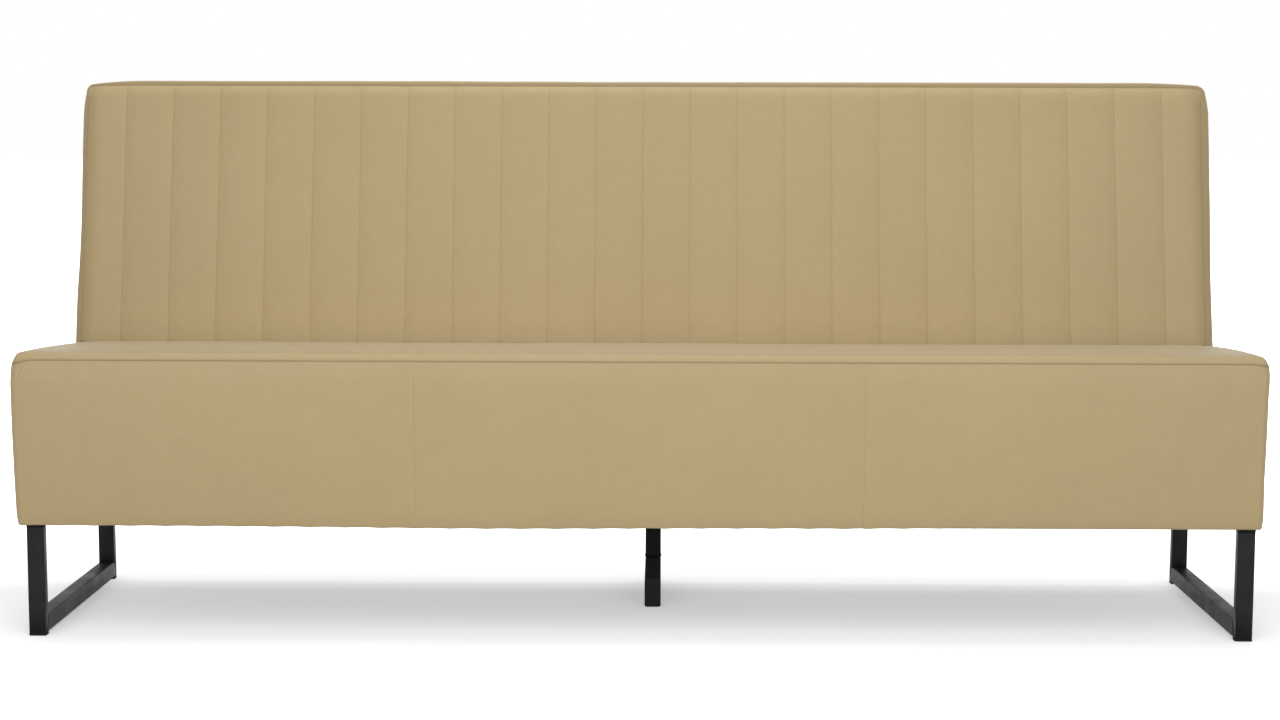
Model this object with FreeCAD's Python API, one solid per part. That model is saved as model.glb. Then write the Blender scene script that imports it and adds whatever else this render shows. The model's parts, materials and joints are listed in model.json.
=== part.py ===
import FreeCAD, Part
import math
import os

# A restaurant booth bench: a boxed timber seat and a leaning timber back, both padded and covered,
# on two welded steel end legs and one centre leg.
# Lengths are millimetres. x runs to the sitter's left, y runs back, z runs up from the floor.
# Depths are counted back from the seat's foremost point until save() centres the bench.

os.makedirs("parts", exist_ok=True)
Vector = FreeCAD.Vector

# Seat, outside
seat_width = 2156.0
seat_depth = 530.0
seat_seam_height = 487.0
seat_pitch = 3.3
leg_height = 200.5
border_flare = 4.0
corner_radius = 12.0
border_seam_share = 0.358
border_height_shares = (0.0, 0.3, 0.6, 0.84, 0.93, 0.975, 1.0)
side_bulge_shares = (0.0, 0.5, 0.85, 1.0, 0.9, 0.55, 0.0)
front_bulge_shares = (0.3, 0.6, 0.9, 1.0, 0.9, 0.55, 0.0)
seat_crown = 16.0
crown_run = 150.0
crown_round = 40.0
crown_inset_shares = (0.0, 0.025, 0.07, 0.16, 0.4, 1.0)
crown_rise_shares = (0.0, 0.35, 0.65, 0.85, 0.96, 1.0)

# Back, outside
back_recline = 12.0
back_face_height = 514.0
back_seam_inset = 8.0
side_bulge = 16.0
back_corner_radius = 11.0
rear_ledge = 15.0
top_bulge = 15.0
edge_depth_shares = (0.0, 0.06, 0.16, 0.5, 0.78, 0.93, 1.0)
edge_bulge_shares = (0.0, 0.6, 0.95, 1.0, 0.72, 0.35, 0.0)
flute_count = 24
end_flute_share = 0.85
flute_depth = 5.0
flute_edge_drop = 10.0
flute_top_round = 24.0

# Layers of the upholstery
cover_thickness = 2.0
foot_padding = 12.0
back_edge_padding = 8.0
seat_foam_thickness = 77.0
back_foam_thickness = 32.0
lip_width = 27.0
dust_cover_thickness = 0.6
dust_cover_margin = 16.0
staple_crown = 12.0
staple_wire = 1.2
staple_height = 0.5
staple_pitch = 100.0
staple_edge = 9.0

# Timber
board_thickness = 18.0
board_round = 6.0
deck_thickness = 12.0
back_timber_depth = 52.0
back_front_board_thickness = 6.0
back_rear_board_thickness = 4.0
rib_share = 0.5
upright_foot_gap = 26.0
corner_block_leg = 30.0
corner_block_share = 0.4
leg_block_side = 60.0
leg_block_height = 60.0

# Steel legs
leg_inset = 8.0
leg_setback = 27.5
leg_rear_setback = 4.5
tube_wide = 30.0
tube_narrow = 20.0
tube_wall = 1.5
tube_corner = 3.0
top_bar_thickness = 5.0
glide_flange = 4.0
glide_plug = 16.0
centre_foot_length = 250.0
centre_foot_height = 50.0
foot_cap_thickness = 3.0
foot_pad_thickness = 2.0
foot_pad_length = 40.0
foot_pad_margin = 3.0
plate_width = 70.0
plate_depth = 78.0
plate_hole_spacing_x = 45.0
plate_hole_spacing_y = 30.0

# Screws
leg_screw = 6.0
leg_screw_length = 38.0
leg_screw_flats = 10.0
leg_screw_head = 4.0
leg_screw_end = 70.0
leg_screws_per_bar = 2
frame_screw = 8.0
frame_screw_length = 32.0
frame_screw_flats = 13.0
frame_screw_head = 5.3
upright_screw_shares = (0.2, 0.6)

# Clearances
curve_gap = 0.3
screw_gap = 0.3
slot_gap = 1.0
crease_gap = 1.0
plug_gap = 0.2
overrun = 40.0

# Places that follow from the sizes
low_half_width = seat_width / 2 - border_flare
low_front = border_flare * (1 - front_bulge_shares[0])
seam_half_width = low_half_width + border_flare * side_bulge_shares[-1]
seam_front = border_flare * (1 - front_bulge_shares[-1])
box_half_width = low_half_width - foot_padding
box_front = low_front + foot_padding
box_rear = seat_depth - cover_thickness
cover_low = leg_height + dust_cover_thickness
box_low = cover_low + cover_thickness
deck_drop = seat_foam_thickness + deck_thickness
inner_half_width = box_half_width - board_thickness
inner_front = box_front + board_thickness
inner_rear = box_rear - board_thickness
border_seam_offset = border_seam_share * seat_width / 2
back_half_width = seat_width / 2 - back_seam_inset
flute_pitch = 2 * back_half_width / (flute_count - 2 + 2 * end_flute_share)
board_front_y = cover_thickness + back_foam_thickness
timber_front_y = board_front_y + back_front_board_thickness
timber_rear_y = timber_front_y + back_timber_depth
cover_rear_y = timber_rear_y + back_rear_board_thickness
back_rear_y = cover_rear_y + cover_thickness
rail_top = back_face_height - back_edge_padding
rail_low = rail_top - board_thickness
lean_sine = math.sin(math.radians(back_recline))
lean_cosine = math.cos(math.radians(back_recline))
back_low = -(seat_foam_thickness + overrun)
seat_usable_depth = seat_depth - rear_ledge - back_rear_y / lean_cosine
pitch_slope = math.tan(math.radians(seat_pitch))
crease_height = seat_seam_height - pitch_slope * (seat_usable_depth - seam_front)
upright_reach = (crease_height - box_low - upright_foot_gap) / lean_cosine
bench_depth = seat_usable_depth + back_rear_y * lean_cosine + back_face_height * lean_sine
bench_height = crease_height + (back_face_height + top_bulge) * lean_cosine
leg_half_span = low_half_width - leg_inset
post_half_depth = tube_narrow / 2
leg_rear = seat_depth - leg_rear_setback
leg_depth = leg_rear - leg_setback
post_top = leg_height - top_bar_thickness
leg_block_x = board_thickness / 2
centre_leg_x = plate_hole_spacing_x / 2
rib_offset = rib_share * inner_half_width
rib_places = (-rib_offset, 0.0, rib_offset)


def save(name, shape):
    """Write one piece, with the bench centred front to back over the origin."""
    placed = shape.copy()
    placed.translate(Vector(0, -bench_depth / 2, 0))
    placed.exportStep("parts/" + name + ".step")


def box(x_low, x_high, y_low, y_high, z_low, z_high):
    """A block between two corners."""
    corner = Vector(x_low, y_low, z_low)
    return Part.makeBox(x_high - x_low, y_high - y_low, z_high - z_low, corner)


def lean(shape):
    """Turn a piece drawn upright behind y = 0 into the back's leaning place."""
    turned = shape.copy()
    turned.rotate(Vector(0, 0, 0), Vector(1, 0, 0), -back_recline)
    turned.translate(Vector(0, seat_usable_depth, crease_height))
    return turned


def seam_level(y):
    """Height at one depth of the plane through the seat's top seam, which falls towards the rear."""
    return seat_seam_height - pitch_slope * (y - seam_front)


def pitched_block(x_low, x_high, y_low, y_high, low_drop, high_drop):
    """A block whose underside and top lie parallel to the seam plane, at two drops below it."""
    corners = []
    for y, drop in ((y_low, low_drop), (y_high, low_drop), (y_high, high_drop), (y_low, high_drop)):
        corners.append(Vector(x_low, y, seam_level(y) - drop))
    corners.append(corners[0])
    return Part.Face(Part.makePolygon(corners)).extrude(Vector(x_high - x_low, 0, 0))


def room_over(drop):
    """All the room over the seam plane lowered by a drop."""
    reach = seat_width
    return pitched_block(-reach, reach, -reach, reach, drop, -bench_height)


def over(shape, drop):
    """Keep what lies over the lowered seam plane."""
    return shape.common(room_over(drop))


def under(shape, drop):
    """Keep what lies under the lowered seam plane."""
    return shape.cut(room_over(drop))


def arc(start, middle, end):
    """An edge through three points."""
    return Part.Arc(start, middle, end).toShape()


def line(start, end):
    """A straight edge."""
    return Part.LineSegment(start, end).toShape()


def plan_outline(half_width, front, rear, radius, height=0, slope=0):
    """A rounded rectangle seen from above, as a wire that may fall towards the rear."""
    inner = radius * (1 - math.sqrt(0.5))
    east, west = half_width, -half_width

    def point(x, y):
        return Vector(x, y, height - slope * (y - seam_front))

    corners = (
        (point(east - radius, front), point(east - inner, front + inner), point(east, front + radius)),
        (point(east, rear - radius), point(east - inner, rear - inner), point(east - radius, rear)),
        (point(west + radius, rear), point(west + inner, rear - inner), point(west, rear - radius)),
        (point(west, front + radius), point(west + inner, front + inner), point(west + radius, front)),
    )
    edges = []
    for place, corner in enumerate(corners):
        following = corners[(place + 1) % len(corners)]
        edges.append(arc(*corner))
        edges.append(line(corner[2], following[0]))
    return Part.Wire(edges)


def border_block(inset):
    """The seat below its top seam: a loft that swells, draws in at the seam and tilts up to its pitch."""
    rise = seat_seam_height - cover_low
    sections = []
    shares = zip(border_height_shares, side_bulge_shares, front_bulge_shares)
    for height_share, side_share, front_share in shares:
        half_width = low_half_width + border_flare * side_share - inset
        front = border_flare * (1 - front_share) + inset
        height = cover_low + rise * height_share
        slope = pitch_slope * height_share
        rear = seat_depth - inset
        sections.append(plan_outline(half_width, front, rear, corner_radius - inset, height, slope))
    return Part.makeLoft(sections, True, True)


def crown_block(inset):
    """The domed top of the seat over its seam, lowered and drawn in by the inset."""
    sections = []
    for inset_share, rise_share in zip(crown_inset_shares, crown_rise_shares):
        step = inset + crown_run * inset_share
        height = seat_seam_height - inset + seat_crown * rise_share
        radius = corner_radius - inset + crown_round * inset_share
        rear = seat_usable_depth + crown_round + corner_radius
        front = seam_front + step
        sections.append(plan_outline(seam_half_width - step, front, rear, radius, height, pitch_slope))
    return Part.makeLoft(sections, True, True)


def back_slab(y_low, y_high, half_width, z_low, z_high):
    """A leaning block across the back."""
    return lean(box(-half_width, half_width, y_low, y_high, z_low, z_high))


def behind_crease(gap):
    """The room taken by the back, from the given gap in front of its fullest face."""
    return back_slab(-gap, back_rear_y + seat_depth, seat_width, -seat_width, seat_width)


def lip_opening():
    """The opening between the turned-in edges of the side covers."""
    half_width = low_half_width - lip_width
    return box(-half_width, half_width, low_front + lip_width, seat_depth - lip_width, 0, box_low)


def between_lips(shape):
    """Notch a board that comes down between the turned-in edges."""
    notches = box(-seat_width, seat_width, 0, seat_depth, 0, box_low).cut(lip_opening())
    return shape.cut(notches)


def across(x_low, x_high):
    """All the room between two places along the seat."""
    return box(x_low, x_high, -seat_depth, 2 * seat_depth, 0, bench_height)


def corner_cut(far_y, seam_y, lip_y):
    """The room of a front or rear cover: up to its corner seams, mitred where it turns in."""
    seam_x = low_half_width
    lip_x = low_half_width - lip_width
    corners = [
        Vector(-seat_width, far_y, 0), Vector(-seat_width, seam_y, 0), Vector(-seam_x, seam_y, 0),
        Vector(-lip_x, lip_y, 0), Vector(lip_x, lip_y, 0), Vector(seam_x, seam_y, 0),
        Vector(seat_width, seam_y, 0), Vector(seat_width, far_y, 0), Vector(-seat_width, far_y, 0),
    ]
    return Part.Face(Part.makePolygon(corners)).extrude(Vector(0, 0, bench_height))


def seat_covers():
    """The seat's side covers, turned in under the boards, cut at their sewn seams."""
    skin = border_block(0)
    hollow = border_block(cover_thickness)
    floor = box(-seat_width, seat_width, -seat_depth, 2 * seat_depth, 0, box_low)
    skin = skin.cut(hollow.cut(floor))
    skin = skin.cut(lip_opening())
    for x, y in leg_screw_places():
        skin = skin.cut(upright_hole(x, y, leg_screw, cover_low - overrun, box_low + overrun))
    front_seam = seam_front + corner_radius
    rear_seam = seat_depth - corner_radius
    front = corner_cut(-seat_depth, front_seam, low_front + lip_width)
    rear = corner_cut(2 * seat_depth, rear_seam, seat_depth - lip_width)
    edge = border_seam_offset
    sides = skin.cut(front).cut(rear)
    fold = pitched_block(-box_half_width, box_half_width, inner_rear, box_rear, cover_thickness, 0)
    return {
        "seat_front_cover_left": skin.common(front).common(across(-seat_width, -edge)),
        "seat_front_cover_centre": skin.common(front).common(across(-edge, edge)),
        "seat_front_cover_right": skin.common(front).common(across(edge, seat_width)),
        "seat_left_cover": sides.common(across(-seat_width, 0)),
        "seat_right_cover": sides.common(across(0, seat_width)),
        "seat_rear_cover": skin.common(rear).fuse(fold).removeSplitter(),
    }


def seat_waddings():
    """The padding between the boards and the side covers, at the front and both sides."""
    ring = border_block(cover_thickness + curve_gap)
    high = bench_height
    ring = ring.common(box(-seat_width, seat_width, -overrun, seat_depth, box_low, high))
    ring = ring.cut(box(-box_half_width, box_half_width, box_front, seat_depth, 0, high))
    ring = under(ring, cover_thickness)
    side_end = box_rear - corner_radius
    front = box(-seat_width, seat_width, -overrun, box_front, 0, high)
    left = box(-seat_width, 0, box_front, side_end, 0, high)
    right = box(0, seat_width, box_front, side_end, 0, high)
    return {
        "seat_front_wadding": ring.common(front),
        "seat_left_wadding": ring.common(left),
        "seat_right_wadding": ring.common(right),
    }


def seat_foam():
    """The crowned foam on the deck, cut off along the leaning back."""
    inset = cover_thickness + curve_gap
    rear = seat_usable_depth + corner_radius
    drop = seat_foam_thickness
    block = pitched_block(-box_half_width, box_half_width, box_front, rear, drop, inset)
    tall = pitched_block(-box_half_width, box_half_width, box_front, rear, drop, -overrun)
    foam = block.fuse(crown_block(inset).common(tall)).removeSplitter()
    return foam.cut(behind_crease(crease_gap + inset))


def seat_top_cover():
    """The seat's crowned top panel, with the flap that tucks down in front of the back."""
    flap_half_width = box_half_width - slot_gap
    rear = seat_usable_depth + corner_radius
    start = seat_usable_depth / 2
    outer_flap = pitched_block(-flap_half_width, flap_half_width, start, rear, seat_foam_thickness, 0)
    outer = crown_block(0).fuse(outer_flap).cut(behind_crease(crease_gap))
    inner_flap = pitched_block(-seat_width, seat_width, 0, rear, seat_seam_height, 0)
    inner = crown_block(cover_thickness).fuse(inner_flap)
    inner = inner.cut(behind_crease(crease_gap + cover_thickness))
    return outer.cut(inner)


def box_boards():
    """The seat box: front, rear and end boards and three cross ribs."""
    wide = box_half_width
    narrow = inner_half_width
    high = bench_height
    half = board_thickness / 2
    boards = {
        "seat_front_board": under(box(-wide, wide, box_front, inner_front, box_low, high), deck_drop),
        "seat_left_board": under(box(-wide, -narrow, inner_front, inner_rear, box_low, high), deck_drop),
        "seat_right_board": under(box(narrow, wide, inner_front, inner_rear, box_low, high), deck_drop),
    }
    for name, x in zip(("seat_left_rib", "seat_centre_rib", "seat_right_rib"), rib_places):
        rib = under(box(x - half, x + half, inner_front, inner_rear, cover_low, high), deck_drop)
        boards[name] = between_lips(rib)
    rear = box(-wide, wide, inner_rear, box_rear, box_low, high)
    corners = [edge for edge in rear.Edges
               if edge.BoundBox.YMin > inner_rear + half and edge.BoundBox.ZLength > board_thickness]
    boards["seat_rear_board"] = under(rear.makeFillet(board_round, corners), cover_thickness)
    return boards


def corner_blocks():
    """Glued triangular blocks in the four corners of the seat box."""
    height = corner_block_share * (seam_level(inner_rear) - deck_drop - box_low)
    blocks = []
    for side in (-1, 1):
        for y, inwards in ((inner_front, 1), (inner_rear, -1)):
            x = side * inner_half_width
            corner = Vector(x, y, box_low)
            along_x = Vector(x - side * corner_block_leg, y, box_low)
            along_y = Vector(x, y + inwards * corner_block_leg, box_low)
            face = Part.Face(Part.makePolygon([corner, along_x, along_y, corner]))
            blocks.append(face.extrude(Vector(0, 0, height)))
    return Part.makeCompound(blocks)


def centre_leg_block():
    """The block beside the centre rib that takes half of the centre leg's screws."""
    x_high = leg_block_x + leg_block_side
    y_low = inner_rear - leg_block_side
    return between_lips(box(leg_block_x, x_high, y_low, inner_rear, cover_low, cover_low + leg_block_height))


def upright_stations():
    """Where the uprights stand: name, the plane they are screwed to, and the side they are on."""
    half = board_thickness / 2
    return (
        ("back_left_end_upright", -inner_half_width, 1),
        ("back_left_upright", -rib_offset + half, 1),
        ("back_centre_upright", -half, -1),
        ("back_right_upright", rib_offset - half, -1),
        ("back_right_end_upright", inner_half_width, -1),
    )


def upright(plane, side, gap):
    """One straight upright, grown by a gap all round for its slot in the deck."""
    x_low = min(plane, plane + side * board_thickness) - gap
    x_high = max(plane, plane + side * board_thickness) + gap
    return lean(box(x_low, x_high, timber_front_y - gap, timber_rear_y + gap, -upright_reach, rail_low))


def upright_screw_places():
    """Depth and height, in the upright drawing, of the screws on each upright below the deck."""
    middle = (timber_front_y + timber_rear_y) / 2
    fall = lean_sine - pitch_slope * lean_cosine
    deck_reach = (deck_drop - middle * fall) / (lean_cosine + pitch_slope * lean_sine)
    length = upright_reach - deck_reach
    return [(middle, -deck_reach - share * length) for share in upright_screw_shares]


def hexagon(flats, height, base, axis):
    """A hexagonal screw head on a base point along an axis."""
    radius = flats / math.sqrt(3)
    points = []
    for corner in range(7):
        angle = math.radians(60 * corner)
        points.append(Vector(radius * math.cos(angle), radius * math.sin(angle), 0))
    head = Part.Face(Part.makePolygon(points)).extrude(Vector(0, 0, height))
    head.Placement = FreeCAD.Placement(base, FreeCAD.Rotation(Vector(0, 0, 1), axis))
    return head


def cylinder(diameter, length, base, axis):
    """A round bar from a base point along an axis."""
    return Part.makeCylinder(diameter / 2, length, base, axis)


def upright_hole(x, y, diameter, low, high):
    """The room for a vertical screw."""
    return cylinder(diameter + 2 * screw_gap, high - low, Vector(x, y, low), Vector(0, 0, 1))


def leaned_point(x, y, z):
    """Where a point of the upright drawing lands on the leaning back."""
    return Vector(x, seat_usable_depth + y * lean_cosine + z * lean_sine,
                  crease_height - y * lean_sine + z * lean_cosine)


def upright_screws():
    """Coach screws that hold the uprights to the ribs and end boards, and the room they need."""
    screws, holes = [], []
    for name, plane, side in upright_stations():
        outwards = Vector(side, 0, 0)
        for y, z in upright_screw_places():
            base = leaned_point(plane + side * board_thickness, y, z)
            shank = cylinder(frame_screw, frame_screw_length, base, -outwards)
            head = hexagon(frame_screw_flats, frame_screw_head, base, outwards)
            screws.append(shank.fuse(head).removeSplitter())
            bore = frame_screw + 2 * screw_gap
            holes.append(cylinder(bore, frame_screw_length + screw_gap, base, -outwards))
    return Part.makeCompound(screws), holes


def leg_screw_places():
    """Screws up through the legs' top bars and the centre leg's plate."""
    x = inner_half_width + board_thickness / 2
    step = (leg_depth - 2 * leg_screw_end) / (leg_screws_per_bar - 1)
    places = []
    for side in (-1, 1):
        for number in range(leg_screws_per_bar):
            places.append((side * x, leg_setback + leg_screw_end + step * number))
    return places


def plate_screw_places():
    """The four screws of the centre leg's plate, two in the rib and two in the block."""
    middle_y = inner_rear - leg_block_side / 2
    places = []
    for side in (-1, 1):
        for end in (-1, 1):
            x = centre_leg_x + side * plate_hole_spacing_x / 2
            places.append((x, middle_y + end * plate_hole_spacing_y / 2))
    return places


def tube(width, depth, length):
    """A rectangular steel tube with rounded corners, standing on its end at the origin."""
    half_width = width / 2
    half_depth = depth / 2
    outline = plan_outline(half_width, -half_depth, half_depth, tube_corner)
    inner_width = half_width - tube_wall
    inner_depth = half_depth - tube_wall
    bore = box(-inner_width, inner_width, -inner_depth, inner_depth, 0, length)
    return Part.Face(outline).extrude(Vector(0, 0, length)).cut(bore)


def lying_tube(width, height, x, y_low, y_high, z_low):
    """A tube along y, with its underside at one height."""
    piece = tube(width, height, y_high - y_low)
    piece.rotate(Vector(0, 0, 0), Vector(1, 0, 0), -90)
    piece.translate(Vector(x, y_low, z_low + height / 2))
    return piece


def end_leg(side):
    """One welded end leg: two posts, a bar on the floor between them and a flat bar on top."""
    x = side * (leg_half_span - tube_wide / 2)
    post = tube(tube_wide, tube_narrow, post_top - glide_flange)
    pieces = {}
    for name, y in (("front_post", leg_setback + post_half_depth), ("rear_post", leg_rear - post_half_depth)):
        placed = post.copy()
        placed.translate(Vector(x, y, glide_flange))
        pieces[name] = placed
    bar_x = side * (leg_half_span - tube_narrow / 2)
    bar_front = leg_setback + tube_narrow
    bar_rear = leg_rear - tube_narrow
    pieces["floor_bar"] = lying_tube(tube_narrow, tube_wide, bar_x, bar_front, bar_rear, glide_flange)
    half = tube_wide / 2
    top_bar = box(x - half, x + half, leg_setback, leg_rear, post_top, leg_height)
    for hole_x, hole_y in leg_screw_places():
        top_bar = top_bar.cut(upright_hole(hole_x, hole_y, leg_screw, post_top, leg_height))
    pieces["top_bar"] = top_bar
    return pieces


def post_glides():
    """Moulded glides that plug the lower ends of the four posts."""
    solids = []
    x = leg_half_span - tube_wide / 2
    inset = tube_wall + plug_gap
    for side in (-1, 1):
        for y in (leg_setback + post_half_depth, leg_rear - post_half_depth):
            flange_wire = plan_outline(tube_wide / 2, -post_half_depth, post_half_depth, tube_corner)
            flange = Part.Face(flange_wire).extrude(Vector(0, 0, glide_flange))
            half_wide = tube_wide / 2 - inset
            half_deep = post_half_depth - inset
            plug = box(-half_wide, half_wide, -half_deep, half_deep, glide_flange, glide_flange + glide_plug)
            glide = flange.fuse(plug)
            glide.translate(Vector(side * x, y, 0))
            solids.append(glide)
    return Part.makeCompound(solids)


def centre_leg():
    """The centre leg: a tall foot bar on the floor, a post on its rear end and a plate."""
    front = leg_rear - centre_foot_length
    tube_front = front + foot_cap_thickness
    tube_rear = leg_rear - foot_cap_thickness
    foot = lying_tube(tube_wide, centre_foot_height, centre_leg_x, tube_front, tube_rear, foot_pad_thickness)
    foot_top = foot_pad_thickness + centre_foot_height
    post = tube(tube_wide, tube_narrow, post_top - foot_top)
    post.translate(Vector(centre_leg_x, tube_rear - post_half_depth, foot_top))
    half = plate_width / 2
    plate = box(centre_leg_x - half, centre_leg_x + half, leg_rear - plate_depth, leg_rear, post_top, leg_height)
    for x, y in plate_screw_places():
        plate = plate.cut(upright_hole(x, y, leg_screw, post_top, leg_height))
    return {"centre_foot_bar": foot, "centre_post": post, "centre_plate": plate}


def foot_caps():
    """Moulded caps that close both ends of the centre foot bar."""
    caps = []
    inset = tube_wall + plug_gap
    front = leg_rear - centre_foot_length
    for y, inwards in ((front, 1), (leg_rear, -1)):
        flange_wire = plan_outline(tube_wide / 2, -centre_foot_height / 2, centre_foot_height / 2, tube_corner)
        flange = Part.Face(flange_wire).extrude(Vector(0, 0, foot_cap_thickness))
        half_wide = tube_wide / 2 - inset
        half_tall = centre_foot_height / 2 - inset
        plug = box(-half_wide, half_wide, -half_tall, half_tall, foot_cap_thickness, glide_plug)
        cap = flange.fuse(plug)
        cap.rotate(Vector(0, 0, 0), Vector(1, 0, 0), -90 * inwards)
        cap.translate(Vector(centre_leg_x, y, foot_pad_thickness + centre_foot_height / 2))
        caps.append(cap)
    return Part.makeCompound(caps)


def foot_pads():
    """Two flat pads under the centre foot bar."""
    pads = []
    half = tube_wide / 2 - tube_corner
    front = leg_rear - centre_foot_length + foot_cap_thickness + foot_pad_margin
    rear = leg_rear - foot_cap_thickness - foot_pad_margin
    for y in (front, rear - foot_pad_length):
        pads.append(box(centre_leg_x - half, centre_leg_x + half, y, y + foot_pad_length, 0, foot_pad_thickness))
    return Part.makeCompound(pads)


def leg_screws():
    """Hexagon coach screws from below into the end boards, the centre rib and its block."""
    screws = []
    for x, y in leg_screw_places() + plate_screw_places():
        base = Vector(x, y, post_top)
        shank = cylinder(leg_screw, leg_screw_length, base, Vector(0, 0, 1))
        head = hexagon(leg_screw_flats, leg_screw_head, base, Vector(0, 0, -1))
        screws.append(shank.fuse(head).removeSplitter())
    return Part.makeCompound(screws)


def dust_cover():
    """The thin cloth under the seat, held between the leg bars and the turned-in covers."""
    margin = dust_cover_margin
    sheet = box(-seat_width / 2 + margin, seat_width / 2 - margin, margin, seat_depth - margin / 2,
                leg_height, cover_low)
    up = Vector(0, 0, 1)
    for x, y in leg_screw_places() + plate_screw_places():
        slit = hexagon(leg_screw + 2 * slot_gap, dust_cover_thickness, Vector(x, y, leg_height), up)
        sheet = sheet.cut(slit)
    return sheet


def dust_cover_staples():
    """Staple crowns along the front and rear edges of the dust cover."""
    staples = []
    half_run = leg_half_span - 2 * tube_wide
    count = int(2 * half_run // staple_pitch)
    front = dust_cover_margin + staple_edge
    rear = seat_depth - dust_cover_margin / 2 - staple_edge
    plate_edge = plate_width / 2 + staple_crown
    for number in range(count + 1):
        x = -half_run + number * 2 * half_run / count
        for y in (front, rear):
            if y == rear and abs(x - centre_leg_x) < plate_edge:
                continue
            staples.append(box(x - staple_crown / 2, x + staple_crown / 2, y - staple_wire / 2,
                               y + staple_wire / 2, leg_height - staple_height, leg_height))
    return Part.makeCompound(staples)


def flute_prism(skin, floor_y):
    """The fluted face as a solid: a row of shallow arcs in plan, drawn up the slope."""
    half_seams = flute_count // 2 - 1
    edge = back_half_width - skin
    edge_y = flute_edge_drop + skin
    valley_y = flute_depth + skin
    points = [Vector(-edge, edge_y, 0)]
    for number in range(-half_seams, half_seams + 1):
        points.append(Vector(number * flute_pitch, valley_y, 0))
    points.append(Vector(edge, edge_y, 0))
    edges = []
    for start, end in zip(points[:-1], points[1:]):
        middle = Vector((start.x + end.x) / 2, skin, 0)
        edges.append(arc(start, middle, end))
    far_end = Vector(edge, floor_y, 0)
    far_start = Vector(-edge, floor_y, 0)
    edges.append(line(points[-1], far_end))
    edges.append(line(far_end, far_start))
    edges.append(line(far_start, points[0]))
    prism = Part.Face(Part.Wire(edges)).extrude(Vector(0, 0, back_face_height - back_low))
    prism.translate(Vector(0, 0, back_low))
    return prism


def top_round_prism(skin, floor_y):
    """The side view of the fluted face: straight up just in front of the flutes, then rounded back."""
    top = back_face_height - skin
    front = skin - curve_gap
    drop = flute_edge_drop + curve_gap
    radius = (drop ** 2 + flute_top_round ** 2) / (2 * drop)
    half_turn = math.asin(flute_top_round / radius) / 2
    start = Vector(0, front, top - flute_top_round)
    middle = Vector(0, front + radius * (1 - math.cos(half_turn)),
                    top - flute_top_round + radius * math.sin(half_turn))
    end = Vector(0, front + drop, top)
    floor_top = Vector(0, floor_y, top)
    floor_low = Vector(0, floor_y, back_low)
    front_low = Vector(0, front, back_low)
    edges = [
        arc(start, middle, end),
        line(end, floor_top),
        line(floor_top, floor_low),
        line(floor_low, front_low),
        line(front_low, start),
    ]
    prism = Part.Face(Part.Wire(edges)).extrude(Vector(seat_width, 0, 0))
    prism.translate(Vector(-seat_width / 2, 0, 0))
    return prism


def fluted_solid(skin, floor_y):
    """The fluted face with its rounded top, down to a flat floor behind it."""
    return flute_prism(skin, floor_y).common(top_round_prism(skin, floor_y))


def above_deck(shape, half_width):
    """Cut a leaning piece off on the deck, and narrow it where it is sunk in the seat."""
    piece = over(shape, seat_foam_thickness)
    for side in (-1, 1):
        x_low = min(side * half_width, side * seat_width)
        x_high = max(side * half_width, side * seat_width)
        piece = piece.cut(pitched_block(x_low, x_high, 0, 2 * seat_depth, seat_seam_height, 0))
    return piece


def back_front_cover():
    """The sewn cover of the back: one skin with a flute between every two seams."""
    floor_y = flute_edge_drop + 2 * cover_thickness
    skin = fluted_solid(0, floor_y).cut(fluted_solid(cover_thickness, floor_y))
    skin = skin.cut(box(-seat_width, seat_width, flute_edge_drop, floor_y, 2 * back_low, bench_height))
    return above_deck(lean(skin), box_half_width - slot_gap)


def back_foam():
    """The back's foam, fluted in front and flat on its board."""
    skin = cover_thickness + curve_gap
    solid = fluted_solid(skin, board_front_y)
    room = box(-box_half_width, box_half_width, 0, board_front_y, back_low, rail_top)
    return above_deck(lean(solid.common(room)), box_half_width - slot_gap)


def back_outline(half_width, top, radius, y):
    """The back's outline, with two rounded top corners, as a wire at one depth."""
    inner = radius * (1 - math.sqrt(0.5))
    right_low = Vector(half_width, y, back_low)
    right_high = Vector(half_width, y, top - radius)
    top_right = Vector(half_width - radius, y, top)
    top_left = Vector(radius - half_width, y, top)
    left_high = Vector(-half_width, y, top - radius)
    left_low = Vector(-half_width, y, back_low)
    return Part.Wire([
        line(left_low, right_low),
        line(right_low, right_high),
        arc(right_high, Vector(half_width - inner, y, top - inner), top_right),
        line(top_right, top_left),
        arc(top_left, Vector(inner - half_width, y, top - inner), left_high),
        line(left_high, left_low),
    ])


def edge_block(inset):
    """The back's thickness as a loft that swells between its front and rear seams."""
    run = cover_rear_y - flute_edge_drop
    sections = []
    for depth_share, bulge_share in zip(edge_depth_shares, edge_bulge_shares):
        half_width = back_half_width + side_bulge * bulge_share - inset
        top = back_face_height + top_bulge * bulge_share - inset
        y = flute_edge_drop + run * depth_share
        sections.append(back_outline(half_width, top, back_corner_radius - inset, y))
    return Part.makeLoft(sections, True, True)


def back_strips():
    """The crowned strips round the back's edge: one on top and one down each side."""
    skin = over(lean(edge_block(0).cut(edge_block(cover_thickness))), 0)
    corner = back_half_width - back_corner_radius
    reach = seat_width
    high = bench_height + overrun
    rooms = {
        "back_left_strip": box(-reach, -corner, 0, reach, 0, high),
        "back_top_strip": box(-corner, corner, 0, reach, 0, high),
        "back_right_strip": box(corner, reach, 0, reach, 0, high),
    }
    return {name: skin.common(room) for name, room in rooms.items()}


def back_edge_wadding():
    """The padding between the back's timber and its edge strips, in one U-shaped length."""
    solid = edge_block(cover_thickness + curve_gap)
    solid = solid.cut(box(-box_half_width, box_half_width, 0, back_rear_y, 2 * back_low, rail_top))
    return over(lean(solid), 0)


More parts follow.
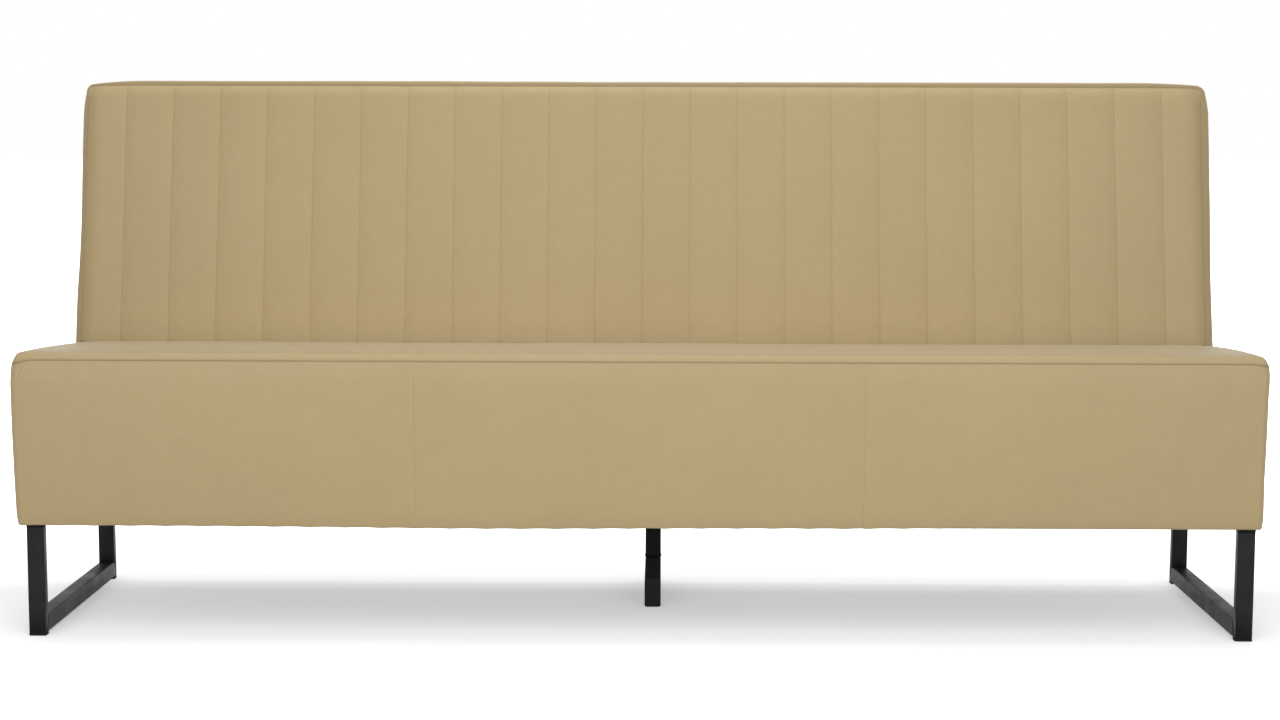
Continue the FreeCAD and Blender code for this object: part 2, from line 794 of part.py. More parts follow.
def back_timber():
    """The back's rails and boards."""
    top_rail = back_slab(timber_front_y, timber_rear_y, box_half_width, rail_low, rail_top)
    pieces = {"back_top_rail": top_rail}
    for name, side in (("back_left_rail", -1), ("back_right_rail", 1)):
        x_low = min(side * inner_half_width, side * box_half_width)
        x_high = max(side * inner_half_width, side * box_half_width)
        rail = lean(box(x_low, x_high, timber_front_y, timber_rear_y, back_low, rail_low))
        pieces[name] = over(rail, seat_foam_thickness)
    front = back_slab(board_front_y, timber_front_y, box_half_width, back_low, rail_top)
    pieces["back_front_board"] = over(front, seat_foam_thickness)
    rear_wire = back_outline(box_half_width, rail_top, back_corner_radius, timber_rear_y)
    rear = lean(Part.Face(rear_wire).extrude(Vector(0, back_rear_board_thickness, 0)))
    pieces["back_rear_board"] = over(rear, 0)
    return pieces


def back_rear_cover():
    """The flat cover over the back's rear board, to the strips' rear seam."""
    wire = back_outline(back_half_width, back_face_height, back_corner_radius, cover_rear_y)
    sheet = Part.Face(wire).extrude(Vector(0, cover_thickness, 0))
    return over(lean(sheet), 0)


def deck():
    """The plywood deck, slotted for the uprights that pass through it."""
    wide = box_half_width
    board = pitched_block(-wide, wide, box_front, inner_rear, deck_drop, seat_foam_thickness)
    for name, plane, side in upright_stations():
        board = board.cut(upright(plane, side, slot_gap))
    return board


def drill(shape, holes):
    """Cut every hole that meets the piece."""
    for hole in holes:
        if hole.BoundBox.intersect(shape.BoundBox):
            shape = shape.cut(hole)
    return shape


def main():
    """Build every piece and write it out."""
    screws, frame_holes = upright_screws()
    leg_holes = []
    for x, y in leg_screw_places() + plate_screw_places():
        leg_holes.append(upright_hole(x, y, leg_screw, post_top, post_top + leg_screw_length + screw_gap))
    holes = frame_holes + leg_holes

    for name, board in box_boards().items():
        save(name, drill(board, holes))
    save("seat_deck", deck())
    save("seat_corner_blocks", corner_blocks())
    save("centre_leg_block", drill(centre_leg_block(), leg_holes))
    for name, plane, side in upright_stations():
        save(name, drill(upright(plane, side, 0), frame_holes))
    for name, piece in back_timber().items():
        save(name, piece)
    save("upright_screws", screws)

    save("seat_foam", seat_foam())
    for name, piece in seat_waddings().items():
        save(name, piece)
    save("seat_top_cover", seat_top_cover())
    for name, piece in seat_covers().items():
        save(name, piece)
    save("dust_cover", dust_cover())
    save("dust_cover_staples", dust_cover_staples())
    save("back_foam", back_foam())
    save("back_front_cover", back_front_cover())
    save("back_edge_wadding", back_edge_wadding())
    for name, piece in back_strips().items():
        save(name, piece)
    save("back_rear_cover", back_rear_cover())

    for name, side in (("left", -1), ("right", 1)):
        for piece_name, piece in end_leg(side).items():
            save(name + "_" + piece_name, piece)
    for name, piece in centre_leg().items():
        save(name, piece)
    save("centre_foot_caps", foot_caps())
    save("centre_foot_pads", foot_pads())
    save("post_glides", post_glides())
    save("leg_screws", leg_screws())


main()
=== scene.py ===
import bmesh
import bpy
import math
import numpy as np
from mathutils import Matrix, Vector
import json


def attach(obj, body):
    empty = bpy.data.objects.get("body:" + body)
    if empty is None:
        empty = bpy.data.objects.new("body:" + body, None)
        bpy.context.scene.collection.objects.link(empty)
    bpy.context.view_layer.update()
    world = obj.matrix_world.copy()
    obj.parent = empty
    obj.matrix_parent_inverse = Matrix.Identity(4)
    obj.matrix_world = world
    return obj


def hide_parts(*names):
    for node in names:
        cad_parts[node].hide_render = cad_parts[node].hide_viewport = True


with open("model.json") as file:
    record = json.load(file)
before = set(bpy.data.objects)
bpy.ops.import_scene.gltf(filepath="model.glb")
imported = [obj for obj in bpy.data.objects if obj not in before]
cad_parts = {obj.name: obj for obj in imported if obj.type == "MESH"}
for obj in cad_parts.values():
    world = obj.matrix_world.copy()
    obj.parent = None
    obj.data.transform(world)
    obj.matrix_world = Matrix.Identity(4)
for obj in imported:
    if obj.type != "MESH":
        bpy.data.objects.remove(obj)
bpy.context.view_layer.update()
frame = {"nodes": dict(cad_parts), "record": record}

# Everything below is worked out in millimetres, with depth counted from the seat's foremost point, and
# place() turns it into the frame's metres.
CENTRE_Y = 308.77                       # half the bench's depth
SEAM_Z, SEAM_Y = 487.0, 4.0             # height and depth of the seat's top seam, in front
SLOPE = math.tan(math.radians(3.3))     # how fast the seat falls towards the rear
LOW_Z = 201.1                           # underside of the covers
SEAT_X, SEAT_CORNER = 1074.0, 12.0      # half the seat's length at its side seams, and its corners' radius
CUSHION_X, CROWN = 1075.3, 17.0         # half the seat cushion's length, and how high it stands over its seam
COVER_TALL = 284.0                      # height of a border cover from its low edge to its seam
UPRIGHT_SEAM_X = 385.9                  # where the front's upright seams are, left and right of its middle
FULL_SHARE, NECK_SHARE = 0.84, 0.86     # where a border is fullest, and where it begins to draw in
BOX_X, BOX_Y = 1062.0, 14.8             # half the timber box's width, and its front
DEPTH = 530.0                           # depth of the seat's rear
SLACK, COVER_THICK = 0.3, 2.0           # room between a cover and its board, and a cover's thickness
LIP_X, LIP_Y, LIP_REAR = 1047.0, 29.8, 503.0    # inner edges of the part that is turned in under the box
BOX_REAR, FOLD_Y = 528.0, 510.0         # rear of the box, and front edge of the fold on top of it
LEAN = math.radians(12.0)
CREASE_Y = 414.81                       # where the back's face meets the plane of the seat's seam
CREASE_Z = SEAM_Z - SLOPE * (CREASE_Y - SEAM_Y)
BACK_X, BACK_TOP = 1070.0, 514.0        # half the back's width, and its height up its slope
FACE_Y, REAR_Y = 10.0, 96.0             # depth of the back's front and rear seams behind its face
CORNER = 11.0                           # radius of its two top corners
PITCH = 2 * BACK_X / 23.7               # one channel
LAST_SEAM = 11                          # the channel seams are numbered from -11 to 11
CENTRE_LEG_X, CENTRE_LEG_Y = 22.5, 512.5


def place(p):
    """Millimetres from the seat's front to the frame's metres."""
    q = np.array(p, float)
    q[..., 1] -= CENTRE_Y
    return q / 1000.0


def seam_level(y):
    """Height of the seat's pitched seam plane at a depth."""
    return SEAM_Z - SLOPE * (y - SEAM_Y)


def lean(p):
    """Points drawn upright (x, depth from the back's face, height up its slope) put in the leaning back."""
    p = np.asarray(p, float)
    y = CREASE_Y + p[..., 1] * math.cos(LEAN) + p[..., 2] * math.sin(LEAN)
    z = CREASE_Z - p[..., 1] * math.sin(LEAN) + p[..., 2] * math.cos(LEAN)
    return np.stack([p[..., 0], y, z], -1)


def skewed(x):
    """The seat's ends stand 3 mm further to the left than its middle seams do, as in the photograph."""
    return x - 3.0 * (x / SEAT_X) ** 4


def right_end(x, share):
    """How much fuller the seat's right end is beside its top seam and at its foot."""
    return np.clip((x - 1000.0) / 70.0, 0, 1) ** 2 * (
        2.2 * np.clip((share - 0.8) / 0.15, 0, 1) + 3.0 * np.clip(1 - share / 0.3, 0, 1))


def fade(distance, reach):
    """1 at no distance, falling to 0 at the reach."""
    return np.clip(1 - distance / reach, 0, 1)


def swell(x, y, seed, amount, length):
    """Smooth unevenness: a sum of sine waves whose directions and phases come from the seed."""
    rng = np.random.default_rng(seed)
    total = np.zeros(np.broadcast(x, y).shape)
    for _ in range(7):
        a = rng.uniform(0, math.tau)
        f = math.tau / (length * rng.uniform(0.55, 1.6))
        total = total + np.sin(f * (np.cos(a) * x + np.sin(a) * y) + rng.uniform(0, math.tau))
    return amount * total / 3.2


def make(name, verts, faces, marks=None):
    """A mesh object from vertices in metres and faces; marks are named point values from 0 to 1."""
    me = bpy.data.meshes.new(name)
    me.from_pydata([tuple(v) for v in verts], [], [tuple(f) for f in faces])
    for key, values in (marks or {}).items():
        att = me.attributes.new(key, "FLOAT", "POINT")
        att.data.foreach_set("value", np.ascontiguousarray(values, np.float32).ravel())
    me.validate()
    me.polygons.foreach_set("use_smooth", [True] * len(me.polygons))
    me.update()
    ob = bpy.data.objects.new(name, me)
    bpy.context.scene.collection.objects.link(ob)
    return ob


def ring_faces(rings, loop):
    """Faces of a closed tube: rings of loop points joined ring to ring, and a cap on both ends."""
    i = np.arange(rings - 1)[:, None] * loop
    j = np.arange(loop)[None, :]
    k = (j + 1) % loop
    quads = np.stack([i + j, i + k, i + loop + k, i + loop + j], -1).reshape(-1, 4).tolist()
    return quads + [list(range(loop)), [(rings - 1) * loop + j for j in range(loop)]]


def band_faces(low, high):
    """Faces between two closed loops of as many points each."""
    return np.stack([low, np.roll(low, -1), np.roll(high, -1), high], -1).tolist()


def pad_faces(n_u, n_v, levels):
    """Faces of a cushion: a grid on top, and under its rim a number of rings down to a flat cap."""
    i, j = np.meshgrid(np.arange(n_u - 1), np.arange(n_v - 1), indexing="ij")
    a = (i * n_v + j).ravel()
    faces = np.stack([a, a + n_v, a + n_v + 1, a + 1], -1).tolist()
    u, v = np.arange(n_u) * n_v, np.arange(1, n_v)
    rim = np.concatenate([u, u[-1] + v, u[-2::-1] + n_v - 1, v[-2::-1]])
    rows = [rim] + [n_u * n_v + level * len(rim) + np.arange(len(rim)) for level in range(levels)]
    for low, high in zip(rows[:-1], rows[1:]):
        faces += band_faces(low, high)
    return faces + [rows[-1].tolist()], rim


def outward(ob):
    """Merge doubles and point the faces outwards."""
    bm = bmesh.new()
    bm.from_mesh(ob.data)
    bmesh.ops.remove_doubles(bm, verts=bm.verts, dist=1e-6)
    bmesh.ops.recalc_face_normals(bm, faces=bm.faces)
    bm.to_mesh(ob.data)
    bm.free()
    ob.data.update()
    return ob


def cloth_relief(width, height, cell, fullest, seed, seams=0.0):
    """Let a flat sheet of cloth, held at its edges and at seams a given pitch apart, swell under pressure.
    Returns a function of the place on it (mm) giving its height there, scaled so that the fullest place has
    the given height."""
    nu, nv = round(width / cell) + 1, round(height / cell) + 1
    u, v = np.meshgrid(np.linspace(0, width, nu), np.linspace(0, height, nv), indexing="ij")
    held = (u < 1) | (u > width - 1) | (v < 1) | (v > height - 1)
    if seams:
        from_seam = (u - width / 2) / seams
        held |= np.abs(from_seam - np.round(from_seam)) * seams < 0.51 * cell
    start = np.where(held, 0.0, swell(u, v, seed, 0.4, 60.0))
    faces = pad_faces(nu, nv, 0)[0][:-1]
    ob = make("trial_sheet", np.stack([u, v, start], -1).reshape(-1, 3) / 1000, faces)
    ob.vertex_groups.new(name="held").add(np.nonzero(held.ravel())[0].tolist(), 1.0, "REPLACE")
    cloth = ob.modifiers.new("cloth", "CLOTH")
    rules = cloth.settings
    rules.quality, rules.mass = 5, 0.3
    rules.tension_stiffness = rules.compression_stiffness = 15
    rules.shear_stiffness, rules.bending_stiffness = 5, 0.5
    rules.use_pressure, rules.uniform_pressure_force = True, 4.0
    rules.shrink_min = -0.002
    rules.effector_weights.gravity = 0
    rules.vertex_group_mass = "held"
    cloth.collision_settings.use_collision = False
    cloth.point_cache.frame_start, cloth.point_cache.frame_end = 1, 20
    for number in range(1, 21):
        bpy.context.scene.frame_set(number)
    shaped = ob.evaluated_get(bpy.context.evaluated_depsgraph_get())
    flat = np.zeros(3 * nu * nv)
    shaped.to_mesh().vertices.foreach_get("co", flat)
    shaped.to_mesh_clear()
    bpy.data.objects.remove(ob)
    bpy.context.scene.frame_set(1)
    rise = np.clip(flat.reshape(nu, nv, 3)[..., 2], 0, None)
    rise *= fullest / np.quantile(rise, 0.98)

    def height_at(u, v):
        """The height between the sheet's points, each weighed by how near it is along both edges."""
        a = np.clip(np.asarray(u, float) / width * (nu - 1), 0, nu - 1.001)
        b = np.clip(np.asarray(v, float) / height * (nv - 1), 0, nv - 1.001)
        i, j = a.astype(int), b.astype(int)
        a, b = a - i, b - j
        low = rise[i, j] * (1 - a) + rise[i + 1, j] * a
        return low * (1 - b) + (rise[i, j + 1] * (1 - a) + rise[i + 1, j + 1] * a) * b

    return height_at


def turned_in(x, y, half_width, front, rear, level):
    """A run of a seat cover's turned-in part: as its outer run, but no further out than the given faces."""
    px, py = np.clip(x, -half_width, half_width), np.clip(y, front, rear)
    return np.stack([px, py, level(py) + 0 * px], -1)[:, None]


def finish_piece(ob, nodes, mat):
    """Hide the CAD nodes that a new piece stands for, and give the piece its body and its material."""
    outward(ob)
    if nodes:
        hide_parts(*nodes)
    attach(ob, "root")
    ob.data.materials.clear()
    ob.data.materials.append(mat)
    return ob


def material(name):
    """A new material, its node tree and the Principled shader in it."""
    mat = bpy.data.materials.new(name)
    mat.use_nodes = True
    tree = mat.node_tree
    tree.nodes.clear()
    out = tree.nodes.new("ShaderNodeOutputMaterial")
    bsdf = tree.nodes.new("ShaderNodeBsdfPrincipled")
    tree.links.new(bsdf.outputs["BSDF"], out.inputs["Surface"])
    return mat, tree, bsdf


def noise(tree, coord, scale, detail=3.0, rough=0.5):
    """Cloudy values from 0 to 1."""
    n = tree.nodes.new("ShaderNodeTexNoise")
    n.inputs["Scale"].default_value = scale
    n.inputs["Detail"].default_value = detail
    n.inputs["Roughness"].default_value = rough
    tree.links.new(coord, n.inputs["Vector"])
    return n.outputs["Fac"]


def ramp(tree, fac, low, high, v0, v1):
    """Values from v0 to v1 while fac goes from low to high."""
    m = tree.nodes.new("ShaderNodeMapRange")
    m.inputs["From Min"].default_value = low
    m.inputs["From Max"].default_value = high
    m.inputs["To Min"].default_value = v0
    m.inputs["To Max"].default_value = v1
    tree.links.new(fac, m.inputs["Value"])
    return m.outputs["Result"]


def mix(tree, fac, a, b):
    """Colour a turning into colour b as fac goes from 0 to 1. Each is a colour or a socket."""
    m = tree.nodes.new("ShaderNodeMix")
    m.data_type = "RGBA"
    tree.links.new(fac, m.inputs["Factor"])
    for socket, value in (("A", a), ("B", b)):
        s = [i for i in m.inputs if i.name == socket and i.type == "RGBA"][0]
        if isinstance(value, tuple):
            s.default_value = (*value, 1.0)
        else:
            tree.links.new(value, s)
    return [o for o in m.outputs if o.type == "RGBA"][0]


def bump(tree, height, strength, distance, under=None):
    """Normals of fine relief, on top of those of a relief under it."""
    b = tree.nodes.new("ShaderNodeBump")
    b.inputs["Strength"].default_value = strength
    b.inputs["Distance"].default_value = distance
    tree.links.new(height, b.inputs["Height"])
    if under:
        tree.links.new(under, b.inputs["Normal"])
    return b.outputs["Normal"]


def combined(tree, operation, a, b):
    """Two values put together by one operation."""
    m = tree.nodes.new("ShaderNodeMath")
    m.operation = operation
    tree.links.new(a, m.inputs[0])
    tree.links.new(b, m.inputs[1])
    return m.outputs["Value"]


def object_coord(tree):
    """The place on the piece, in metres."""
    return tree.nodes.new("ShaderNodeTexCoord").outputs["Object"]


def mark(tree, name):
    """A named point value of the piece."""
    a = tree.nodes.new("ShaderNodeAttribute")
    a.attribute_name = name
    return a.outputs["Fac"]


def leather():
    """Tan artificial leather: a cell grain under soft creases, and painted shade that darkens it along the
    seams, where the seam mark is.
    """
    mat, tree, bsdf = material("tan_leather")
    xyz = object_coord(tree)
    broad = noise(tree, xyz, 3.0, 4.0)
    fine = noise(tree, xyz, 60.0, 4.0, 0.6)
    base = mix(tree, ramp(tree, broad, 0.3, 0.7, 0.0, 1.0), (0.405, 0.308, 0.158), (0.425, 0.326, 0.170))
    base = mix(tree, ramp(tree, fine, 0.35, 0.75, 0.0, 0.35), base, (0.385, 0.290, 0.146))
    # Painted shade: the seam mark darkens the leather towards deep brown along the seams' creases.
    base = mix(tree, mark(tree, "seam_shade"), base, (0.155, 0.108, 0.045))
    tree.links.new(base, bsdf.inputs["Base Color"])
    cells = tree.nodes.new("ShaderNodeTexVoronoi")
    cells.feature = "SMOOTH_F1"
    cells.inputs["Scale"].default_value = 850.0
    tree.links.new(xyz, cells.inputs["Vector"])
    grain = bump(tree, cells.outputs["Distance"], 0.22, 0.0004)
    creases = bump(tree, noise(tree, xyz, 28.0, 5.0, 0.62), 0.12, 0.0012, grain)
    tree.links.new(creases, bsdf.inputs["Normal"])
    tree.links.new(ramp(tree, fine, 0.3, 0.7, 0.44, 0.54), bsdf.inputs["Roughness"])
    bsdf.inputs["IOR"].default_value = 1.45
    bsdf.inputs["Specular IOR Level"].default_value = 0.38
    bsdf.inputs["Sheen Weight"].default_value = 0.15
    bsdf.inputs["Sheen Roughness"].default_value = 0.4
    return mat


def steel():
    """Near-black clear-coated raw steel, with faint patches from the rolling."""
    mat, tree, bsdf = material("black_steel")
    xyz = object_coord(tree)
    patch = noise(tree, xyz, 22.0, 5.0, 0.65)
    fine = noise(tree, xyz, 240.0, 3.0)
    base = mix(tree, ramp(tree, patch, 0.35, 0.7, 0.0, 1.0), (0.008, 0.009, 0.0095), (0.016, 0.0185, 0.015))
    tree.links.new(base, bsdf.inputs["Base Color"])
    tree.links.new(ramp(tree, patch, 0.3, 0.7, 0.36, 0.52), bsdf.inputs["Roughness"])
    tree.links.new(bump(tree, fine, 0.12, 0.0003), bsdf.inputs["Normal"])
    bsdf.inputs["Specular IOR Level"].default_value = 0.14
    return mat


def matt_steel(name, dark, pale):
    """The centre leg's duller black, from a dark to a paler grey."""
    mat, tree, bsdf = material(name)
    fine = noise(tree, object_coord(tree), 300.0, 4.0)
    tree.links.new(mix(tree, fine, (dark, dark, dark), (pale, pale, 0.95 * pale)), bsdf.inputs["Base Color"])
    tree.links.new(ramp(tree, fine, 0.3, 0.7, 0.84, 0.95), bsdf.inputs["Roughness"])
    tree.links.new(bump(tree, fine, 0.2, 0.0003), bsdf.inputs["Normal"])
    bsdf.inputs["Specular IOR Level"].default_value = 0.05
    return mat


def plastic():
    """Black moulded plastic of the glides, caps and pads."""
    mat, tree, bsdf = material("black_plastic")
    fine = noise(tree, object_coord(tree), 500.0, 2.0)
    base = mix(tree, fine, (0.008, 0.008, 0.008), (0.015, 0.015, 0.015))
    tree.links.new(base, bsdf.inputs["Base Color"])
    tree.links.new(ramp(tree, fine, 0.2, 0.8, 0.6, 0.76), bsdf.inputs["Roughness"])
    bsdf.inputs["Specular IOR Level"].default_value = 0.15
    return mat


def plywood():
    """Sanded plywood, with its grain along the bench."""
    mat, tree, bsdf = material("plywood")
    xyz = object_coord(tree)
    stretch = tree.nodes.new("ShaderNodeMapping")
    stretch.inputs["Scale"].default_value = (1.5, 14.0, 14.0)
    tree.links.new(xyz, stretch.inputs["Vector"])
    grain = noise(tree, stretch.outputs["Vector"], 5.0, 8.0, 0.7)
    base = mix(tree, ramp(tree, grain, 0.3, 0.7, 0.0, 1.0), (0.50, 0.35, 0.20), (0.68, 0.52, 0.33))
    tree.links.new(base, bsdf.inputs["Base Color"])
    bsdf.inputs["Roughness"].default_value = 0.7
    tree.links.new(bump(tree, grain, 0.2, 0.0004), bsdf.inputs["Normal"])
    return mat


def hardboard():
    """Brown hardboard, mottled by its fibres."""
    mat, tree, bsdf = material("hardboard")
    fine = noise(tree, object_coord(tree), 160.0, 6.0, 0.7)
    base = mix(tree, fine, (0.20, 0.115, 0.06), (0.30, 0.18, 0.10))
    tree.links.new(base, bsdf.inputs["Base Color"])
    bsdf.inputs["Roughness"].default_value = 0.6
    return mat


def cellular(name, dark, light, scale):
    """Foam, wadding or non-woven cloth: dull and rough, with cells or fibres of one scale."""
    mat, tree, bsdf = material(name)
    cells = noise(tree, object_coord(tree), scale, 6.0, 0.75)
    tree.links.new(mix(tree, cells, dark, light), bsdf.inputs["Base Color"])
    bsdf.inputs["Roughness"].default_value = 0.95
    tree.links.new(bump(tree, cells, 0.5, 0.001), bsdf.inputs["Normal"])
    return mat


def zinc():
    """Zinc-plated steel of the screws and staples."""
    mat, tree, bsdf = material("zinc_steel")
    patch = noise(tree, object_coord(tree), 300.0, 4.0)
    tree.links.new(mix(tree, patch, (0.42, 0.43, 0.43), (0.62, 0.61, 0.56)), bsdf.inputs["Base Color"])
    bsdf.inputs["Metallic"].default_value = 0.9
    tree.links.new(ramp(tree, patch, 0.2, 0.8, 0.28, 0.45), bsdf.inputs["Roughness"])
    return mat


LEATHER = leather()
STEEL = steel()
finishes = {
    "leather": LEATHER,
    "black_steel": STEEL,
    "black_plastic": plastic(),
    "plywood": plywood(),
    "hardboard": hardboard(),
    "foam": cellular("cut_foam", (0.62, 0.55, 0.36), (0.80, 0.73, 0.52), 700.0),
    "wadding": cellular("wadding", (0.70, 0.70, 0.68), (0.86, 0.86, 0.84), 220.0),
    "dust_cloth": cellular("dust_cloth", (0.012, 0.012, 0.012), (0.035, 0.035, 0.035), 1500.0),
    "zinc_steel": zinc(),
}
slots = {s["node"]: s["material_slot"] for s in frame["record"]["subparts"]}
MATT = matt_steel("matt_black_steel", 0.0095, 0.016)
# Painted light: the centre post gets a paler copy of the matt black, standing in for light it lacks in the
# seat's shadow.
own_finish = {"centre_foot_bar": MATT, "centre_post": matt_steel("matt_black_post_painted_light", 0.022, 0.035)}
for node, ob in frame["nodes"].items():
    ob.data.materials.clear()
    ob.data.materials.append(own_finish.get(node, finishes[slots[node]]))


def border_half_width(share):
    """Half the seat's width at a share of the border's height: it swells upwards and draws in at the seam."""
    return (SEAT_X + 4.3 * np.sin(0.5 * math.pi * np.clip(share / FULL_SHARE, 0, 1))
            - 2.1 * np.clip((share - NECK_SHARE) / (1 - NECK_SHARE), 0, 1) ** 2.2)


def border_front(share):
    """Depth of the seat's front face at a share of the border's height."""
    return (2.8 * (1 - np.sin(0.5 * math.pi * np.clip(share / FULL_SHARE, 0, 1)))
            + 4.6 * np.clip((share - NECK_SHARE) / (1 - NECK_SHARE), 0, 1) ** 1.8)


def corner_dip(x, y):
    """How far the top seam sinks at the seat's two front corners."""
    reach = np.hypot(SEAT_X - np.abs(x), np.maximum(y - SEAM_Y, 0))
    return np.where(x < 0, 8.5, 4.6) * fade(reach, 34.0) ** 1.6


def side_bow(x, y):
    """How far the seat's two side seams rise between their ends, and the crown beside them."""
    along = np.clip((y - SEAM_Y) / (CREASE_Y - SEAM_Y), 0, 1)
    return np.where(x < 0, 2.6, 5.6) * np.sin(math.pi * along) ** 0.8 * fade(SEAT_X - np.abs(x), 120.0)


def corner_crease(x, z):
    """The short slanting fold beside the seat's upper left front corner: a groove with a soft ridge beside
    it, both bell curves across the fold, that fade out towards its two ends."""
    low_x, low_z, tall = -1063.0, 456.0, 24.0
    along, off = (z - low_z) / tall, x - low_x - 0.27 * (z - low_z)
    length = np.clip(1.6 * (1 - np.abs(2 * along - 1)), 0, 1)
    return length * (0.35 * np.exp(-((off - 4.0) / 3.0) ** 2) - 0.9 * np.exp(-(off / 1.5) ** 2))


TURN = 0.06                             # how many stations a corner takes on either side of it


def outline(station, share):
    """A point of the seat's outline, and its outward direction. Stations: 0 at the left rear, 1 left front,
    2 right front, 3 right rear. The outline is a quarter circle round 1 and 2, and elsewhere straight."""
    c, radius = TURN, SEAT_CORNER
    t, share = np.broadcast_arrays(np.asarray(station, float), np.asarray(share, float))
    w, f = border_half_width(share), border_front(share)
    x, y, nx, ny = (np.zeros(t.shape) for _ in range(4))
    side = np.sign(t - 1.5)
    u = np.where(t < 1.5, t, 3 - t)
    m = u < 1 - c
    x[m] = (side * w)[m]
    y[m] = (DEPTH + (f + radius - DEPTH) * u / (1 - c))[m]
    nx[m] = side[m]
    m = (u >= 1 - c) & (u < 1 + c)
    angle = math.pi / 2 * (u - (1 - c)) / (2 * c)
    x[m] = (side * (w - radius + radius * np.cos(angle)))[m]
    y[m] = (f + radius - radius * np.sin(angle))[m]
    nx[m], ny[m] = (side * np.cos(angle))[m], -np.sin(angle)[m]
    m = u >= 1 + c
    x[m] = ((w - radius) * (t - 1.5) / (0.5 - c))[m]
    y[m], ny[m] = f[m], -1
    return x, y, nx, ny


def border_piece(name, nodes, stations, seed, end_marks):
    """One border panel: a padded strip whose face follows the outline between two seams. Its ends and its top
    roll in a little, and its low edge is drawn in between the staples. end_marks say how plainly the seam
    shows at its two ends, both in how far they roll in and in how dark the painted shade along them is."""
    stations = np.asarray(stations, float)
    shares = np.concatenate([
        np.array([0.0, 0.002, 0.005, 0.010, 0.02, 0.035]), np.linspace(0.05, 0.86, 42),
        np.linspace(0.868, 0.968, 14), np.array([0.976, 0.984, 0.990, 0.994, 0.997, 1.0])])
    t, s = np.meshgrid(stations, shares, indexing="ij")
    x, y, nx, ny = outline(t, s)
    base_x, base_y, _, _ = outline(stations, 0.7)
    run = np.concatenate([[0], np.cumsum(np.hypot(np.diff(base_x), np.diff(base_y)))])
    first, last = run[:, None] + 0 * s, run[-1] - run[:, None] + 0 * s
    from_end = np.minimum(first, last)
    relief = cloth_relief(run[-1], COVER_TALL, 7.0, 1.6, seed)(first, s * COVER_TALL)
    height = seam_level(y) - corner_dip(x, y) + side_bow(x, y) - LOW_Z
    z = LOW_Z + s * height
    rise, drop = z - LOW_Z, height * (1 - s)
    around = (run + 700.0 * seed)[:, None]
    soft = swell(around, z, seed, 0.6, 300.0) + swell(around, z, seed + 1, 0.25, 90.0)
    soft = soft * np.clip(from_end / 30, 0, 1) * np.clip(rise / 40, 0, 1) * np.clip(drop / 25, 0, 1)
    scallop = np.abs(np.sin(around * math.pi / 62.0 + seed)) * fade(rise, 16.0)
    hang = 1.4 + 2.6 * np.exp(-((x + 260.0) / 290.0) ** 2) - 1.6 * np.clip((x - 350.0) / 200.0, 0, 1)
    hang = np.where(y < 60, hang, 0.3) * fade(rise, 70.0) ** 2
    rolled = 1.1 * (end_marks[0] * fade(first, 2.4) ** 2 + end_marks[1] * fade(last, 2.4) ** 2)
    n = soft + relief - rolled - 0.9 * scallop - 1.2 * fade(rise, 2.0) ** 2 - 0.7 * fade(drop, 1.5) ** 2
    n = n + corner_crease(x, z) * (y < 20) - 1.9 * fade(rise, 28.0) ** 2 * np.clip((28.0 - y) / 12.0, 0, 1)
    x, y = skewed(x + nx * n) + right_end(x, s), y + ny * n
    z = z + 0.8 * (scallop - 0.6) * fade(rise, 16.0) - hang
    # Painted shade along the seams: darker at the two upright seams, as end_marks say, and along the top
    # seam.
    seam_shade = np.maximum(end_marks[0] * fade(first, 1.8), end_marks[1] * fade(last, 1.8))
    seam_shade = np.maximum(0.6 * seam_shade, 0.55 * fade(drop, 1.5))
    outer = np.stack([x, y, z], -1)
    low_x, low_y, _, _ = outline(stations, 0.0)
    ring = [outer]
    for half_width, front, level in (
            (BOX_X + 4, BOX_Y - 4, lambda v: seam_level(v) - 6.6),
            (BOX_X + SLACK, BOX_Y - SLACK, lambda v: seam_level(v) - 7.0),
            (BOX_X + SLACK, BOX_Y - SLACK, lambda v: 345.0),
            (BOX_X + SLACK, BOX_Y - SLACK, lambda v: LOW_Z + COVER_THICK),
            (LIP_X, LIP_Y, lambda v: LOW_Z + COVER_THICK),
            (LIP_X, LIP_Y, lambda v: LOW_Z),
            (BOX_X - 3, BOX_Y + 0.5, lambda v: LOW_Z),
            (BOX_X + 4, BOX_Y - 6, lambda v: LOW_Z - 0.6)):
        ring.append(turned_in(low_x, low_y, half_width, front, DEPTH, level))
    return sewn_band(name, nodes, np.concatenate(ring, axis=1), seam_shade)


def sewn_band(name, nodes, points, seam_shade):
    """A padded piece from closed loops of points. The seam marks, painted shade along the seams, are for the
    first points of each loop.
    """
    marks = np.zeros(points.shape[:2])
    marks[:, :seam_shade.shape[1]] = seam_shade
    faces = ring_faces(*points.shape[:2])
    ob = make(name, place(points.reshape(-1, 3)), faces, {"seam_shade": marks.ravel()})
    return finish_piece(ob, nodes, LEATHER)


def stations_between(a, b, fine):
    """Stations from a to b, closer together near both ends and round the corners."""
    ends = np.array([0, 0.4, 0.9, 1.6, 2.6, 5, 10, 20]) * fine
    spots = set(np.round(np.concatenate([a + ends, b - ends, np.linspace(a, b, 150)]), 6))
    for corner in (1.0, 2.0):
        if a < corner + TURN and b > corner - TURN:
            spots |= set(np.round(np.clip(corner + np.linspace(-TURN, TURN, 15), a, b), 6))
            away = np.sign(1.5 - corner) * np.linspace(TURN, TURN + 0.022, 27)
            spots |= set(np.round(np.clip(corner + away, a, b), 6))
    return sorted(spots)


def front_station(x):
    """The station of a place x on the front."""
    return 1.5 + (0.5 - TURN) * x / 1064.0


